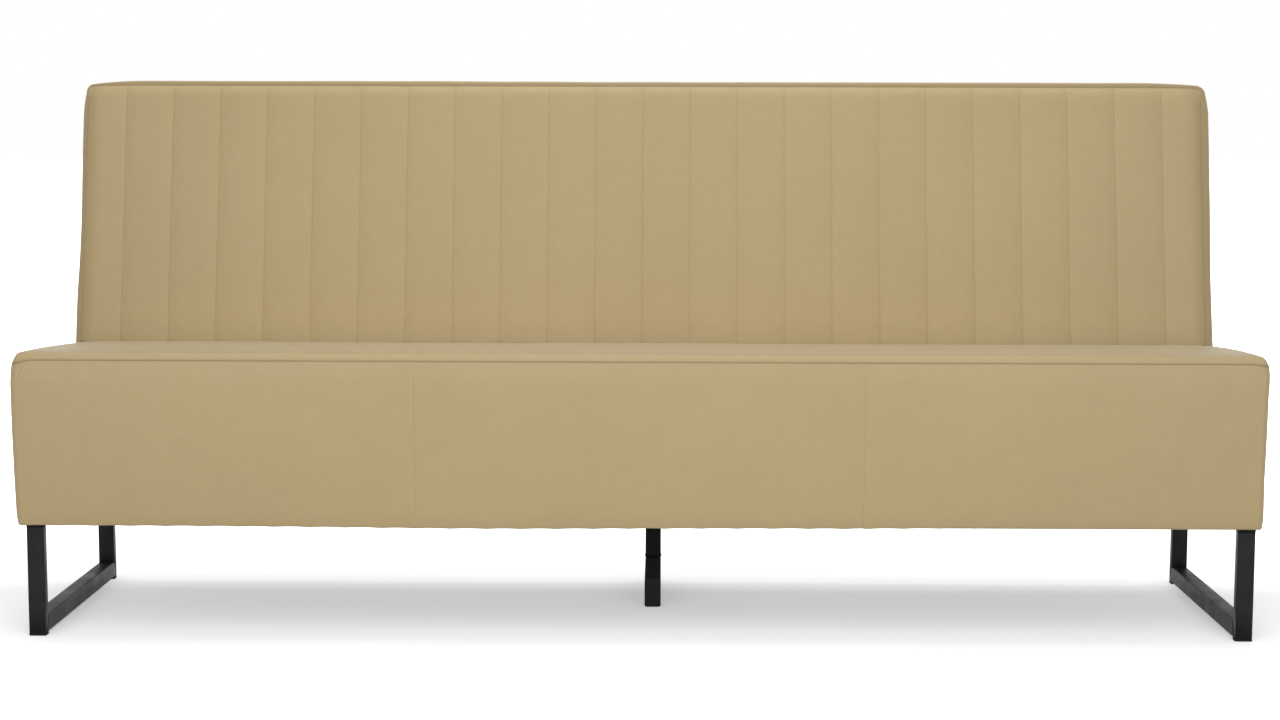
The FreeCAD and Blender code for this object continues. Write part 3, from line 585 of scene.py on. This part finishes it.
FRONT_SEAM = front_station(UPRIGHT_SEAM_X)
CORNER_SEAM, REAR_SEAM = 0.98, 0.0218   # stations of the left side's two upright seams
border_piece("seat_front_left_panel", ["seat_front_cover_left"],
             stations_between(CORNER_SEAM, 3 - FRONT_SEAM, 0.0005), 3, (0.8, 0.06))
border_piece("seat_front_centre_panel", ["seat_front_cover_centre", "seat_front_wadding"],
             stations_between(3 - FRONT_SEAM, FRONT_SEAM, 0.0005), 5, (0.06, 0.06))
border_piece("seat_front_right_panel", ["seat_front_cover_right"],
             stations_between(FRONT_SEAM, 3 - CORNER_SEAM, 0.0005), 8, (0.06, 0.8))
border_piece("seat_left_panel", ["seat_left_cover", "seat_left_wadding"],
             stations_between(REAR_SEAM, CORNER_SEAM, 0.002), 13, (0.8, 0.8))
border_piece("seat_right_panel", ["seat_right_cover", "seat_right_wadding"],
             stations_between(3 - CORNER_SEAM, 3 - REAR_SEAM, 0.002), 21, (0.8, 0.8))


def rounded(x, y, half_width, front, radius):
    """Pull a grid's two front corners in to quarter circles. Also gives each point's distance to the edge."""
    ax, ay = np.maximum(np.abs(x) - half_width + radius, 0), np.maximum(front + radius - y, 0)
    both = (ax > 0) & (ay > 0)
    squeeze = np.where(both, np.maximum(ax, ay) / np.maximum(np.hypot(ax, ay), 1e-9), 1.0)
    x = np.where(both, np.sign(x) * (half_width - radius + ax * squeeze), x)
    y = np.where(both, front + radius - ay * squeeze, y)
    d = np.minimum(half_width - np.abs(x), y - front)
    d = np.where(both, radius - np.hypot(ax, ay) * squeeze, d)
    return x, y, np.maximum(d, 0)


def seat_top():
    """The crowned seat cushion. It rises steeply from its seam and then slowly, as 0.7 (1 - e^(-d/5)) +
    0.3 (1 - e^(-d/28)) of its crown at a distance d from the seam; the rear edge follows the leaning back,
    and the underside lies on the deck."""
    near = np.array([0, 0.8, 1.8, 3, 4.6, 6.6, 9, 12, 16, 21, 28, 37, 48, 62, 80])
    half, front, rear = CUSHION_X, SEAM_Y, CREASE_Y + 4.0
    inner = np.linspace(-(half - 96), half - 96, 150)
    xs = np.concatenate([-half + near, inner, (half - near)[::-1]])
    ys = np.concatenate([front + near, np.linspace(front + 96, rear - 14, 24),
                         rear - np.array([9, 5.5, 3, 1.2, 0])])
    x, y = np.meshgrid(xs, ys, indexing="ij")
    x, y, d = rounded(x, y, half, front, SEAT_CORNER)
    rise = 0.7 * (1 - np.exp(-d / 5.0)) + 0.3 * (1 - np.exp(-d / 28.0))
    sag = 1.5 * np.exp(-((y - 250.0) / 130.0) ** 2) * np.clip((half - np.abs(x)) / 200.0, 0, 1)
    relief = cloth_relief(2 * half, rear - front, 11.0, 1.6, 36)
    sag = sag - relief(x + half, y - front) - side_bow(x, y)
    z = seam_level(y) - corner_dip(x, y) * fade(d, 9.0) - 0.2 + CROWN * rise - sag
    z = z + (swell(x, y, 34, 0.6, 460.0) + swell(x, y, 35, 0.25, 120.0)) * np.clip(d / 60, 0, 1)
    limit = CREASE_Y - 1.2 + (z - CREASE_Z) * math.tan(LEAN)
    z = z - 3.5 * np.clip((y - (rear - 26)) / 26, 0, 1) ** 3
    y = np.minimum(y, limit)
    top = np.stack([skewed(x) + right_end(x, 1.0), y, z], -1).reshape(-1, 3)
    faces, rim = pad_faces(*x.shape, 3)
    edge = top[rim]
    verts = [top]
    for drop, gap in ((6.5, 2.0), (9.5, -SLACK), (76.8, -SLACK)):
        px = np.clip(edge[:, 0], -BOX_X - gap, BOX_X + gap)
        py = np.maximum(edge[:, 1], BOX_Y - gap)
        pz = seam_level(py) - drop
        py = np.minimum(py, CREASE_Y - 1.2 + (pz - CREASE_Z) * math.tan(LEAN))
        verts.append(np.stack([px, py, pz], -1))
    # Painted shade: the seam mark darkens the cushion along its seam.
    seam_shade = np.concatenate([0.55 * fade(d, 1.4).ravel(), np.zeros(3 * len(rim))])
    ob = make("seat_top_cushion", place(np.concatenate(verts)), faces, {"seam_shade": seam_shade})
    return finish_piece(ob, ["seat_top_cover", "seat_foam"], LEATHER)


seat_top()


def corner_sink(x):
    """How far the back's top edge comes down towards its two corners."""
    return np.where(x < 0, 2.2, 1.2) * fade(BACK_X - np.abs(x), 70.0) ** 2


def channels(x, z):
    """How far the channelled face lies behind its crests: a broad shallow bow between two seams, a tighter
    roll beside each seam and the narrow nip of the seam itself. Also gives the distance to the seam."""
    number = np.clip(np.round(x / PITCH), -LAST_SEAM, LAST_SEAM)
    off = x - number * PITCH
    wander = 0.35 * np.sin(z / 71.0 + number * 2.4) + 0.2 * np.sin(z / 23.0 + number * 5.1)
    to_seam = np.abs(off - wander * fade(np.abs(off), 20))
    last = LAST_SEAM * PITCH
    half = np.where(np.abs(x) > last, BACK_X - last, PITCH / 2)
    t = fade(to_seam, half)
    return 1.7 * t ** 2 + 0.7 * t ** 8, 0.5 * fade(to_seam, 1.7) ** 1.3, to_seam


def back_cushion():
    """The channelled back cushion. The face bows between its seams, rounds back to the top seam and the side
    seams, and goes down behind the seat; behind it is flat on its board."""
    offsets = np.array([0, 0.9, 1.9, 2.9, 4.5, 8, 13, 20, 30, 38])
    near = np.array([0, 0.6, 1.3, 2.2, 3.5, 5.5, 8, 12, 17, 23, 32])
    xs = [side * (BACK_X - gap) for side in (-1, 1) for gap in near]
    for number in range(-LAST_SEAM, LAST_SEAM + 1):
        xs += [number * PITCH + side * offset for side in (-1, 1) for offset in offsets]
        xs += [(number + 0.5) * PITCH]
    xs = np.unique(np.round([x for x in xs if abs(x) <= BACK_X], 3))
    zs = np.concatenate([np.linspace(-60, 462, 88), (BACK_TOP - np.concatenate([near, [42]]))[::-1]])
    x, z = np.meshgrid(xs, zs, indexing="ij")
    bow, nip, to_seam = channels(x, z)
    from_top, from_side = BACK_TOP - z, BACK_X - np.abs(x)
    over_top, over_side = fade(from_top, 26.0), fade(from_side, 30.0)
    edge_fall = FACE_Y * np.clip(np.hypot(over_top, over_side), 0, 1) ** 2.6
    calm = np.clip(from_top / 12.0, 0.2, 1)
    y = bow * calm + nip * calm + edge_fall
    y = y + swell(x, z, 55, 0.35, 260.0) * np.clip(from_top / 40, 0, 1) * np.clip(from_side / 30, 0, 1)
    relief = cloth_relief(2 * BACK_X, BACK_TOP, PITCH / 10, 1.1, 57, PITCH)(x + BACK_X, np.maximum(z, 0))
    y = y - relief * np.clip(from_top / 20, 0, 1) * np.clip(z / 20, 0, 1) + 0.5
    y = np.clip(y, 0.0, FACE_Y + 0.2)
    x, flipped, _ = rounded(x, BACK_TOP - z, BACK_X, 0.0, CORNER)
    z = BACK_TOP - flipped
    z = z - corner_sink(x) * fade(BACK_TOP - z, 40.0)
    sunk = np.clip((16.0 - z) / 6.0, 0, 1)
    x = np.sign(x) * np.minimum(np.abs(x), BACK_X - (BACK_X - 1060.5) * sunk)
    # Painted shade: the seam mark darkens the face faintly along the channel seams, and more along the top
    # and side seams.
    seam_shade = 0.16 * fade(to_seam, 1.5) * np.clip(from_top / 3.0, 0, 1)
    seam_shade = np.maximum(seam_shade, 0.4 * fade(from_top, 1.4))
    seam_shade = np.maximum(seam_shade, 0.4 * fade(from_side, 1.7))
    top = np.stack([x, y, z], -1).reshape(-1, 3)
    faces, rim = pad_faces(*x.shape, 2)
    edge = top[rim]
    verts = [top]
    for depth, high in ((13.0, BACK_TOP - 4.0), (33.7, 505.7)):
        px = np.clip(edge[:, 0], -1061.4, 1061.4)
        px = np.where(edge[:, 2] < 16, np.clip(px, -1060.5, 1060.5), px)
        verts.append(np.stack([px, np.full(px.shape, depth), np.minimum(edge[:, 2], high)], -1))
    marks = np.concatenate([seam_shade.ravel(), np.zeros(2 * len(rim))])
    ob = make("back_channel_cushion", place(lean(np.concatenate(verts))), faces, {"seam_shade": marks})
    return finish_piece(ob, ["back_front_cover", "back_foam"], LEATHER)


back_cushion()

SIDE_RUN = BACK_TOP - CORNER
ARC_RUN = CORNER * math.pi / 2
ACROSS = 2 * (BACK_X - CORNER)
ALL_RUN = 2 * SIDE_RUN + 2 * ARC_RUN + ACROSS


def back_rim(s):
    """A point of the back's outline at a run s from the left foot, its outward direction, and how far it is
    from the nearer top corner's arc. The outline is straight but for quarter circles at the two corners."""
    u = np.minimum(s, ALL_RUN - s)
    side = np.where(s < ALL_RUN / 2, -1.0, 1.0)
    angle = np.clip((u - SIDE_RUN) / CORNER, 0, math.pi / 2)
    x = side * (BACK_X - CORNER + CORNER * np.cos(angle)) - side * np.maximum(u - SIDE_RUN - ARC_RUN, 0)
    z = np.where(u < SIDE_RUN, u, SIDE_RUN + CORNER * np.sin(angle))
    from_corner = np.maximum(np.abs(u - SIDE_RUN - ARC_RUN / 2) - ARC_RUN / 2, 0)
    return x, z, side * np.cos(angle), np.sin(angle), from_corner


def edge_strip(name, nodes, runs, seed):
    """One strip of the back's padded edge: a band swept along the outline, closed behind. It swells as
    (4 s (1 - s)) to the power 0.3 at a share s of its width warped towards the front, and less at the top
    corners."""
    shares = np.concatenate([np.array([0, 0.006, 0.015, 0.03, 0.05]), np.linspace(0.075, 0.93, 22),
                             np.array([0.96, 0.98, 0.992, 1.0])])
    run = np.asarray(runs, float)
    s, share = np.meshgrid(run, shares, indexing="ij")
    x, z, nx, nz, from_corner = back_rim(s)
    foot_low, foot_high = run[0] < 1, run[-1] > ALL_RUN - 1
    first = s - s[:1] + 99.0 * foot_low
    last = s[-1:] - s + 99.0 * foot_high
    warped = share ** 0.75
    swollen = np.clip(4 * warped * (1 - warped), 0, 1) ** 0.3
    above = nz ** 2
    wave = 2.4 * np.clip((170 - z) / 60, 0, 1) - 2.0 * np.exp(-((z - 255) / 80) ** 2)
    left, right = 11.5 + wave, 19.0 - 2.6 * np.exp(-((z - 140) / 90) ** 2)
    full = above * 13.2 + (1 - above) * np.where(x < 0, left, right)
    taper = fade(from_corner, np.where(nz > 0.5, 95.0, 40.0)) ** 1.6
    full = full * (1 - np.where(x < 0, 0.48, 0.3) * taper)
    out = full * swollen
    out = out + swell(s, share * 90, seed, 0.4, 240.0) * swollen * np.clip(np.minimum(first, last) / 20, 0, 1)
    out = out - 0.8 * fade(np.minimum(first, last), 2.4) ** 2
    y = FACE_Y + share * (REAR_Y - FACE_Y)
    z = z - corner_sink(x) * fade(BACK_TOP - z, 40.0)
    x, z = x + nx * out, z + nz * out
    from_edge = np.minimum(share, 1 - share) * (REAR_Y - FACE_Y)
    # Painted shade: the seam mark darkens the strip along its two long seams and at its ends.
    seam_shade = np.maximum(0.4 * fade(from_edge, 1.5), 0.3 * fade(np.minimum(first, last), 1.5))
    outer = np.stack([x, y, z], -1)

    def inside(half_width, depth, high):
        """A run along the back of the strip, no further out than the frame's faces."""
        px = np.clip(x[:, :1], -half_width, half_width)
        return np.concatenate([px, np.full(px.shape, depth), np.minimum(z[:, :1], high)], -1)[:, None]

    ring = np.concatenate([
        outer,
        inside(BOX_X + SLACK, REAR_Y - 4.3, 506.3),
        inside(BOX_X + SLACK, 34.6, 506.3),
        inside(BOX_X + SLACK, FACE_Y + 3.6, 510.6),
    ], axis=1)
    points = lean(ring)
    points[..., 2] = np.maximum(points[..., 2], seam_level(points[..., 1]) + 0.3)
    return sewn_band(name, nodes, points, seam_shade)


def run_between(a, b, step):
    """Places from a to b, closer near both ends and round the corners."""
    ends = np.array([0, 0.8, 1.6, 2.6, 5, 10])
    spots = [a + ends, b - ends, np.linspace(a, b, int((b - a) / step))]
    for corner in (SIDE_RUN, ALL_RUN - SIDE_RUN - ARC_RUN):
        spots.append(np.clip(corner + np.linspace(0, ARC_RUN, 10), a, b))
    return np.unique(np.round(np.concatenate(spots), 3))


edge_strip("back_left_edge", ["back_left_strip"], run_between(0, SIDE_RUN + ARC_RUN, 6), 61)
edge_strip("back_top_edge", ["back_top_strip", "back_edge_wadding"],
           run_between(SIDE_RUN + ARC_RUN, ALL_RUN - SIDE_RUN - ARC_RUN, 8), 67)
edge_strip("back_right_edge", ["back_right_strip"],
           run_between(ALL_RUN - SIDE_RUN - ARC_RUN, ALL_RUN, 6), 71)


def seat_rear_panel():
    """The seat's rear cover: flat on the rear board, round both corners, folded over the board's top and
    turned in under it. It bellies out by 0.9 mm between its edges."""
    w, r, low = 1078.0, SEAT_CORNER, DEPTH - SEAT_CORNER
    turn = np.radians(np.linspace(0, 90, 8))
    near = np.array([2, 6, 14])
    across = np.concatenate([w - r - near, np.linspace(w - 60, -(w - 60), 90), -w + r + near[::-1]])
    base_x = np.concatenate([w - r + r * np.cos(turn), across, -(w - r + r * np.cos(turn[::-1]))])
    base_y = np.concatenate([low + r * np.sin(turn), 0 * across + DEPTH, low + r * np.sin(turn[::-1])])
    shares = np.concatenate([[0, 0.004, 0.01, 0.02, 0.04], np.linspace(0.07, 0.93, 18),
                             [0.96, 0.98, 0.99, 1.0]])
    x, share = np.meshgrid(base_x, shares, indexing="ij")
    y = base_y[:, None] + 0 * share
    z = LOW_Z + share * (seam_level(y) - LOW_Z)
    tall = 255.0
    inward = np.minimum(np.minimum(share, 1 - share) * tall, (w - np.abs(x)) * 0.6 + 2)
    belly = 0.9 * np.clip(inward / 45.0, 0, 1) ** 0.6
    belly = belly + swell(x, z, 44, 0.25, 200.0) * np.clip(inward / 30, 0, 1)
    y = y + (belly - 0.9 * fade(share * tall, 2.0) ** 2) * (base_y[:, None] > DEPTH - 0.5)
    x = skewed(x * (border_half_width(share) / w)) + right_end(x, share)
    ring = [np.stack([x, y, z], -1)]
    for half_width, rear, level in (
            (BOX_X, FOLD_Y + 0.2, lambda v: seam_level(v) - 0.1),
            (BOX_X, FOLD_Y + 0.2, lambda v: seam_level(v) - 1.9),
            (BOX_X + SLACK, BOX_REAR + SLACK, lambda v: seam_level(v) - 1.9),
            (BOX_X + SLACK, BOX_REAR + SLACK, lambda v: LOW_Z + COVER_THICK),
            (LIP_X, LIP_REAR, lambda v: LOW_Z + COVER_THICK),
            (LIP_X, LIP_REAR, lambda v: LOW_Z)):
        ring.append(turned_in(base_x, base_y, half_width, SEAM_Y, rear, level))
    ends = np.minimum(np.arange(len(base_x)), np.arange(len(base_x))[::-1])[:, None]
    # Painted shade: the seam mark darkens the cover at its two ends and along its top seam.
    seam_shade = np.maximum(0.6 * (ends < 1), 0.6 * fade((1 - share) * tall, 1.9))
    return sewn_band("seat_rear_panel", ["seat_rear_cover"], np.concatenate(ring, axis=1), seam_shade)


seat_rear_panel()


def back_rear_panel():
    """The back's rear cover: stretched over its board, 1.4 mm fuller in the middle than at its sewn edge."""
    near = np.array([0, 0.8, 1.8, 3.2, 5.5, 9, 14, 22, 34])
    xs = np.concatenate([-BACK_X + near, np.linspace(-BACK_X + 60, BACK_X - 60, 100), (BACK_X - near)[::-1]])
    zs = np.concatenate([15.2 + near[:6], np.linspace(42, 462, 24), (BACK_TOP - near)[::-1]])
    x, z = np.meshgrid(xs, zs, indexing="ij")
    x, flipped, d = rounded(x, BACK_TOP - z, BACK_X, 0.0, CORNER)
    z = BACK_TOP - flipped
    d = np.minimum(d, z - 15.2)
    z = z - corner_sink(x) * fade(BACK_TOP - z, 40.0)
    y = REAR_Y + 1.2 + 1.4 * (1 - np.exp(-d / 26.0)) - 0.9 * fade(d, 1.8) ** 1.4
    y = y + swell(x, z, 83, 0.3, 330.0) * np.clip(d / 40, 0, 1)
    top = np.stack([x, y, z], -1).reshape(-1, 3)
    faces, rim = pad_faces(*x.shape, 1)
    edge = top[rim].copy()
    edge[:, 0] *= 1 - 0.4 / BACK_X
    edge[:, 1] = REAR_Y + 0.15
    # Painted shade: the seam mark darkens the cover along its sewn edge.
    seam_shade = np.concatenate([0.6 * fade(d, 1.7).ravel(), np.zeros(len(rim))])
    ob = make("back_rear_panel", place(lean(np.concatenate([top, edge]))), faces, {"seam_shade": seam_shade})
    return finish_piece(ob, ["back_rear_cover"], LEATHER)


back_rear_panel()


def dust_cloth():
    """The black cloth under the seat, stapled along its edges. It hangs a little in each field between the
    legs, and is drawn up at every staple."""
    x0, y0, y1 = 1062.0, 16.0, 522.0
    xs = np.unique(np.concatenate([np.linspace(-x0, x0, 213), [-1030, 1030]]))
    ys = np.linspace(y0, y1, 52)
    x, y = np.meshgrid(xs, ys, indexing="ij")
    edge = np.minimum(y - y0, y1 - y)
    field = np.clip((1030.0 - np.abs(x)) / 180.0, 0, 1) ** 2 * np.clip((edge - 8) / 120.0, 0, 1)
    plate = np.hypot(np.maximum(np.abs(x - CENTRE_LEG_X) - 38.0, 0), np.maximum(445.0 - y, 0))
    drop = 5.0 * field * np.clip(plate / 110.0, 0, 1) ** 2
    pull = np.abs(np.sin(math.pi * (x + 1012.0) / 101.2))
    drop = drop + 0.9 * pull * fade(np.abs(edge - 20), 20.0) * np.clip((1025.0 - np.abs(x)) / 40.0, 0, 1)
    low = np.stack([x, y, 200.52 - np.maximum(drop * (plate > 3), 0)], -1)
    high = low + np.array([0, 0, 0.5])
    faces, rim = pad_faces(len(xs), len(ys), 0)
    count = x.size
    both = [f[::-1] for f in faces[:-1]] + [[v + count for v in f] for f in faces[:-1]]
    both += band_faces(rim, rim + count)
    ob = make("dust_cloth", place(np.concatenate([low.reshape(-1, 3), high.reshape(-1, 3)])), both)
    finish_piece(ob, ["dust_cover"], finishes["dust_cloth"])


dust_cloth()


def section(half_wide, half_high, radius, sides=4):
    """A rounded rectangle as a loop of points round its centre: four quarter circles of a few sides each."""
    points = []
    for corner in range(4):
        cx = (half_wide - radius) * (1 if corner in (0, 3) else -1)
        cy = (half_high - radius) * (1 if corner in (0, 1) else -1)
        for step in range(sides + 1):
            a = math.radians(90 * corner + 90 * step / sides)
            points.append((cx + radius * math.cos(a), cy + radius * math.sin(a)))
    return np.array(points)


def steel_piece(name, node, rings):
    """A closed tube from a stack of loops, standing for a tube of the leg. Its end caps are shaded flat."""
    ring = np.asarray(rings)
    ob = make(name, place(ring.reshape(-1, 3)), ring_faces(*ring.shape[:2]))
    finish_piece(ob, [node], STEEL)
    for poly in ob.data.polygons:
        poly.use_smooth = len(poly.vertices) == 4
    ob.data.update()


LEG_X, LEG_FRONT, LEG_REAR = 1051.0, 27.5, 525.5    # middle, front and rear of an end leg
HALF_WIDE, POST_DEEP, POST_TOP = 15.0, 20.0, 195.5  # half a tube's width, a post's depth and its top
FRONT_POST_Y, REAR_POST_Y = LEG_FRONT + POST_DEEP / 2, LEG_REAR - POST_DEEP / 2
BAR_LOW, BAR_TOP = 3.6, 34.0            # underside and top of the loops' floor bars
FOOT_TOP = 52.4                         # where the centre post stands on its foot
TUBE_ROUND = 3.0                        # radius of the tubes' long edges
BEVEL = 0.7                             # how far a mitred end is drawn in


def end_leg(side, word):
    """The loop of an end leg: two posts and a floor bar, mitred from the loop's inner corners to its outer
    ones. Each end has a fine bevel, so the joint shows as a dark line."""
    plan = section(HALF_WIDE, POST_DEEP / 2, TUBE_ROUND)
    shrink = section(HALF_WIDE - BEVEL, POST_DEEP / 2 - BEVEL, 2.6)
    slope = (BAR_TOP - BAR_LOW) / POST_DEEP
    for which, middle, way in (("front", FRONT_POST_Y, 1), ("rear", REAR_POST_Y, -1)):
        rings = []
        for lift, loop in ((0.15, shrink), (0.9, plan), (20, plan), (60, plan), (110, plan), (154.0, plan)):
            across = way * loop[:, 1] + POST_DEEP / 2
            foot = BAR_LOW + slope * across
            z = foot + lift if lift < 2 else np.full(len(loop), BAR_TOP + lift)
            rings.append(np.stack([side * LEG_X + loop[:, 0], middle + loop[:, 1], z], -1))
        z = np.full(len(plan), POST_TOP)
        rings.append(np.stack([side * LEG_X + plan[:, 0], middle + plan[:, 1], z], -1))
        steel_piece(f"{word}_{which}_leg_post", f"{word}_{which}_post", rings)
    tall = (BAR_TOP - BAR_LOW) / 2
    face, shrink = section(HALF_WIDE, tall, TUBE_ROUND), section(HALF_WIDE - BEVEL, tall - BEVEL, 2.6)
    rings = []
    for at, loop in ((0.15, shrink), (0.9, face)):
        y = LEG_FRONT + (loop[:, 1] + tall) / slope + at
        rings.append(np.stack([side * LEG_X + loop[:, 0], y, BAR_LOW + tall + loop[:, 1]], -1))
    for at in np.linspace(LEG_FRONT + POST_DEEP + 4, LEG_REAR - POST_DEEP - 4, 12):
        y = 0 * face[:, 0] + at
        rings.append(np.stack([side * LEG_X + face[:, 0], y, BAR_LOW + tall + face[:, 1]], -1))
    for at, loop in ((0.9, face), (0.15, shrink)):
        y = LEG_REAR - (loop[:, 1] + tall) / slope - at
        rings.append(np.stack([side * LEG_X + loop[:, 0], y, BAR_LOW + tall + loop[:, 1]], -1))
    steel_piece(f"{word}_leg_floor_bar", f"{word}_floor_bar", rings)


def weld(name, x, y, z, half_wide, half_deep, size, mat):
    """A fillet weld round a post: a bead whose middle follows the post's outline. Its radius is its size
    times 1 + 0.16 sin of a 3.1 mm ripple + 0.07 sin of an 11 mm one."""
    loop = section(half_wide, half_deep, TUBE_ROUND, 6)
    dense = []
    for p, q in zip(loop, np.roll(loop, -1, 0)):
        count = max(1, int(np.hypot(*(q - p)) / 0.9))
        dense += [p + (q - p) * k / count for k in range(count)]
    dense = np.array(dense)
    ahead, behind = np.roll(dense, -1, 0), np.roll(dense, 1, 0)
    along = ahead - behind
    outwards = np.stack([along[:, 1], -along[:, 0]], -1)
    outwards = outwards / np.maximum(np.hypot(*along.T), 1e-9)[:, None]
    run = np.concatenate([[0], np.cumsum(np.hypot(*np.diff(dense, axis=0).T))])
    radius = size * (1 + 0.16 * np.sin(run * math.tau / 3.1) + 0.07 * np.sin(run * math.tau / 11.0))
    turns = np.radians(np.arange(0, 360, 45))
    out, up = radius[:, None] * np.cos(turns), radius[:, None] * np.sin(turns)
    px, py = x + dense[:, :1] + outwards[:, :1] * out, y + dense[:, 1:] + outwards[:, 1:] * out
    ring = np.stack([px, py, z + up], -1)
    rings, loop_count = ring.shape[:2]
    i, k = np.arange(rings)[:, None], np.arange(loop_count)[None, :]
    j, m = (i + 1) % rings, (k + 1) % loop_count
    corners = [i * loop_count + k, i * loop_count + m, j * loop_count + m, j * loop_count + k]
    ob = make(name, place(ring.reshape(-1, 3)), np.stack(corners, -1).reshape(-1, 4).tolist())
    finish_piece(ob, [], mat)


for side, word in ((-1, "left"), (1, "right")):
    end_leg(side, word)
    for which, y in (("front", FRONT_POST_Y), ("rear", REAR_POST_Y)):
        weld(f"{word}_{which}_weld", side * LEG_X, y, POST_TOP - 0.6, 14.6, POST_DEEP / 2 - 0.4, 1.3, STEEL)
weld("centre_foot_weld", CENTRE_LEG_X, CENTRE_LEG_Y, FOOT_TOP, 14.6, 9.6, 1.3, MATT)
weld("centre_plate_weld", CENTRE_LEG_X, CENTRE_LEG_Y, POST_TOP - 0.6, 14.8, 9.8, 1.7, MATT)


def camera():
    """The photograph's camera: a long lens 3.7 m in front, looking a little down. Yaw and pitch turn its
    forward direction, and roll its right and up round that."""
    photo_width_px, focal_px = 1280.0, 2179.9
    data = bpy.data.cameras.new("photo_camera")
    data.sensor_width = 36.0
    data.lens = data.sensor_width * focal_px / photo_width_px
    cam = bpy.data.objects.new("photo_camera", data)
    bpy.context.scene.collection.objects.link(cam)
    yaw, pitch, roll = math.radians(-0.551), math.radians(6.124), math.radians(0.156)
    forward = Vector((math.sin(yaw) * math.cos(pitch), math.cos(yaw) * math.cos(pitch), -math.sin(pitch)))
    right = Vector((math.cos(yaw), -math.sin(yaw), 0))
    up = right.cross(forward)
    turned_right = math.cos(roll) * right + math.sin(roll) * up
    turned_up = -math.sin(roll) * right + math.cos(roll) * up
    spot = place([36.1, LEG_FRONT - 3725.1, 888.2])
    cam.matrix_world = Matrix((
        (turned_right.x, turned_up.x, -forward.x, spot[0]),
        (turned_right.y, turned_up.y, -forward.y, spot[1]),
        (turned_right.z, turned_up.z, -forward.z, spot[2]),
        (0, 0, 0, 1),
    ))
    data.clip_end = 200
    bpy.context.scene.camera = cam


def seen(tree):
    """1 for rays of the camera, and for those that come by way of a mirror or glass."""
    path = tree.nodes.new("ShaderNodeLightPath")
    mirrored = combined(tree, "MAXIMUM", path.outputs["Is Camera Ray"], path.outputs["Is Glossy Ray"])
    return combined(tree, "MAXIMUM", mirrored, path.outputs["Is Transmission Ray"])


FLOOR_LIFT = 0.375                      # how much the floor is brightened for the camera under the bench


def floor():
    """A wide pale floor that keeps the bench's shadow. Seen by the camera it is brightened towards white by
    painted light, more so behind the bench and far off, which fades the shadow's rear and leaves the rest of
    it."""
    size = 60.0
    corners = np.array([[-size, -size, 0], [size, -size, 0], [size, size, 0], [-size, size, 0]])
    ob = make("floor", corners, [[0, 1, 2, 3]])
    mat, tree, bsdf = material("floor")
    xyz = object_coord(tree)
    fine = noise(tree, xyz, 2.0, 2.0)
    path = seen(tree)
    plain = mix(tree, fine, (0.59, 0.59, 0.59), (0.61, 0.61, 0.61))
    tree.links.new(mix(tree, path, plain, (1.0, 1.0, 1.0)), bsdf.inputs["Base Color"])
    bsdf.inputs["Roughness"].default_value = 1.0
    bsdf.inputs["Specular IOR Level"].default_value = 0.0
    bsdf.inputs["Emission Color"].default_value = (1, 1, 1, 1)
    split = tree.nodes.new("ShaderNodeSeparateXYZ")
    tree.links.new(xyz, split.inputs["Vector"])
    # Painted light: the lift grows with depth from under the bench's rear, and with distance from the bench,
    # so it lightens the rear of the bench's shadow.
    lift = ramp(tree, split.outputs["Y"], 0.12, 1.12, FLOOR_LIFT, FLOOR_LIFT + 0.9)
    near = ramp(tree, split.outputs["Y"], 0.09, 0.2, 0.0, 0.13)
    away = tree.nodes.new("ShaderNodeVectorMath")
    away.operation = "LENGTH"
    tree.links.new(xyz, away.inputs[0])
    far = ramp(tree, away.outputs["Value"], 1.35, 2.3, 0.0, 0.6)
    for extra in (near, far):
        lift = combined(tree, "ADD", lift, extra)
    tree.links.new(combined(tree, "MULTIPLY", lift, path), bsdf.inputs["Emission Strength"])
    ob.data.materials.append(mat)


def lamp(name, width, height, power, spot, aim):
    """A broad soft light at a spot, turned towards its aim."""
    data = bpy.data.lights.new(name, "AREA")
    data.shape = "RECTANGLE"
    data.size, data.size_y, data.energy = width, height, power
    ob = bpy.data.objects.new(name, data)
    bpy.context.scene.collection.objects.link(ob)
    ob.location = spot
    ob.rotation_mode = "QUATERNION"
    ob.rotation_quaternion = (Vector(aim) - Vector(spot)).to_track_quat("-Z", "Y")


def light():
    """A white surround, two broad soft lights in front and one above. The surround gives less light than the
    camera sees of it."""
    world = bpy.data.worlds.new("studio")
    world.use_nodes = True
    tree = world.node_tree
    tree.nodes.clear()
    out = tree.nodes.new("ShaderNodeOutputWorld")
    shades = []
    lit, shown = 0.4, 1.0
    for strength in (lit, shown):
        shade_node = tree.nodes.new("ShaderNodeBackground")
        shade_node.inputs["Color"].default_value = (1, 1, 1, 1)
        shade_node.inputs["Strength"].default_value = strength
        shades.append(shade_node.outputs["Background"])
    pick = tree.nodes.new("ShaderNodeMixShader")
    tree.links.new(seen(tree), pick.inputs["Fac"])
    tree.links.new(shades[0], pick.inputs[1])
    tree.links.new(shades[1], pick.inputs[2])
    tree.links.new(pick.outputs["Shader"], out.inputs["Surface"])
    bpy.context.scene.world = world
    lamp("key", 4.2, 1.6, 19.5, (0.1, -1.9, 2.2), (0, -0.1, 0.5))
    lamp("low", 4.2, 1.2, 36.5, (0, -2.6, 0.9), (0, -0.1, 0.4))
    lamp("top", 2.8, 1.2, 19.0, (0, 0.15, 2.4), (0, 0.15, 0))


floor()
light()
camera()
bpy.context.scene.view_settings.view_transform = "Standard"
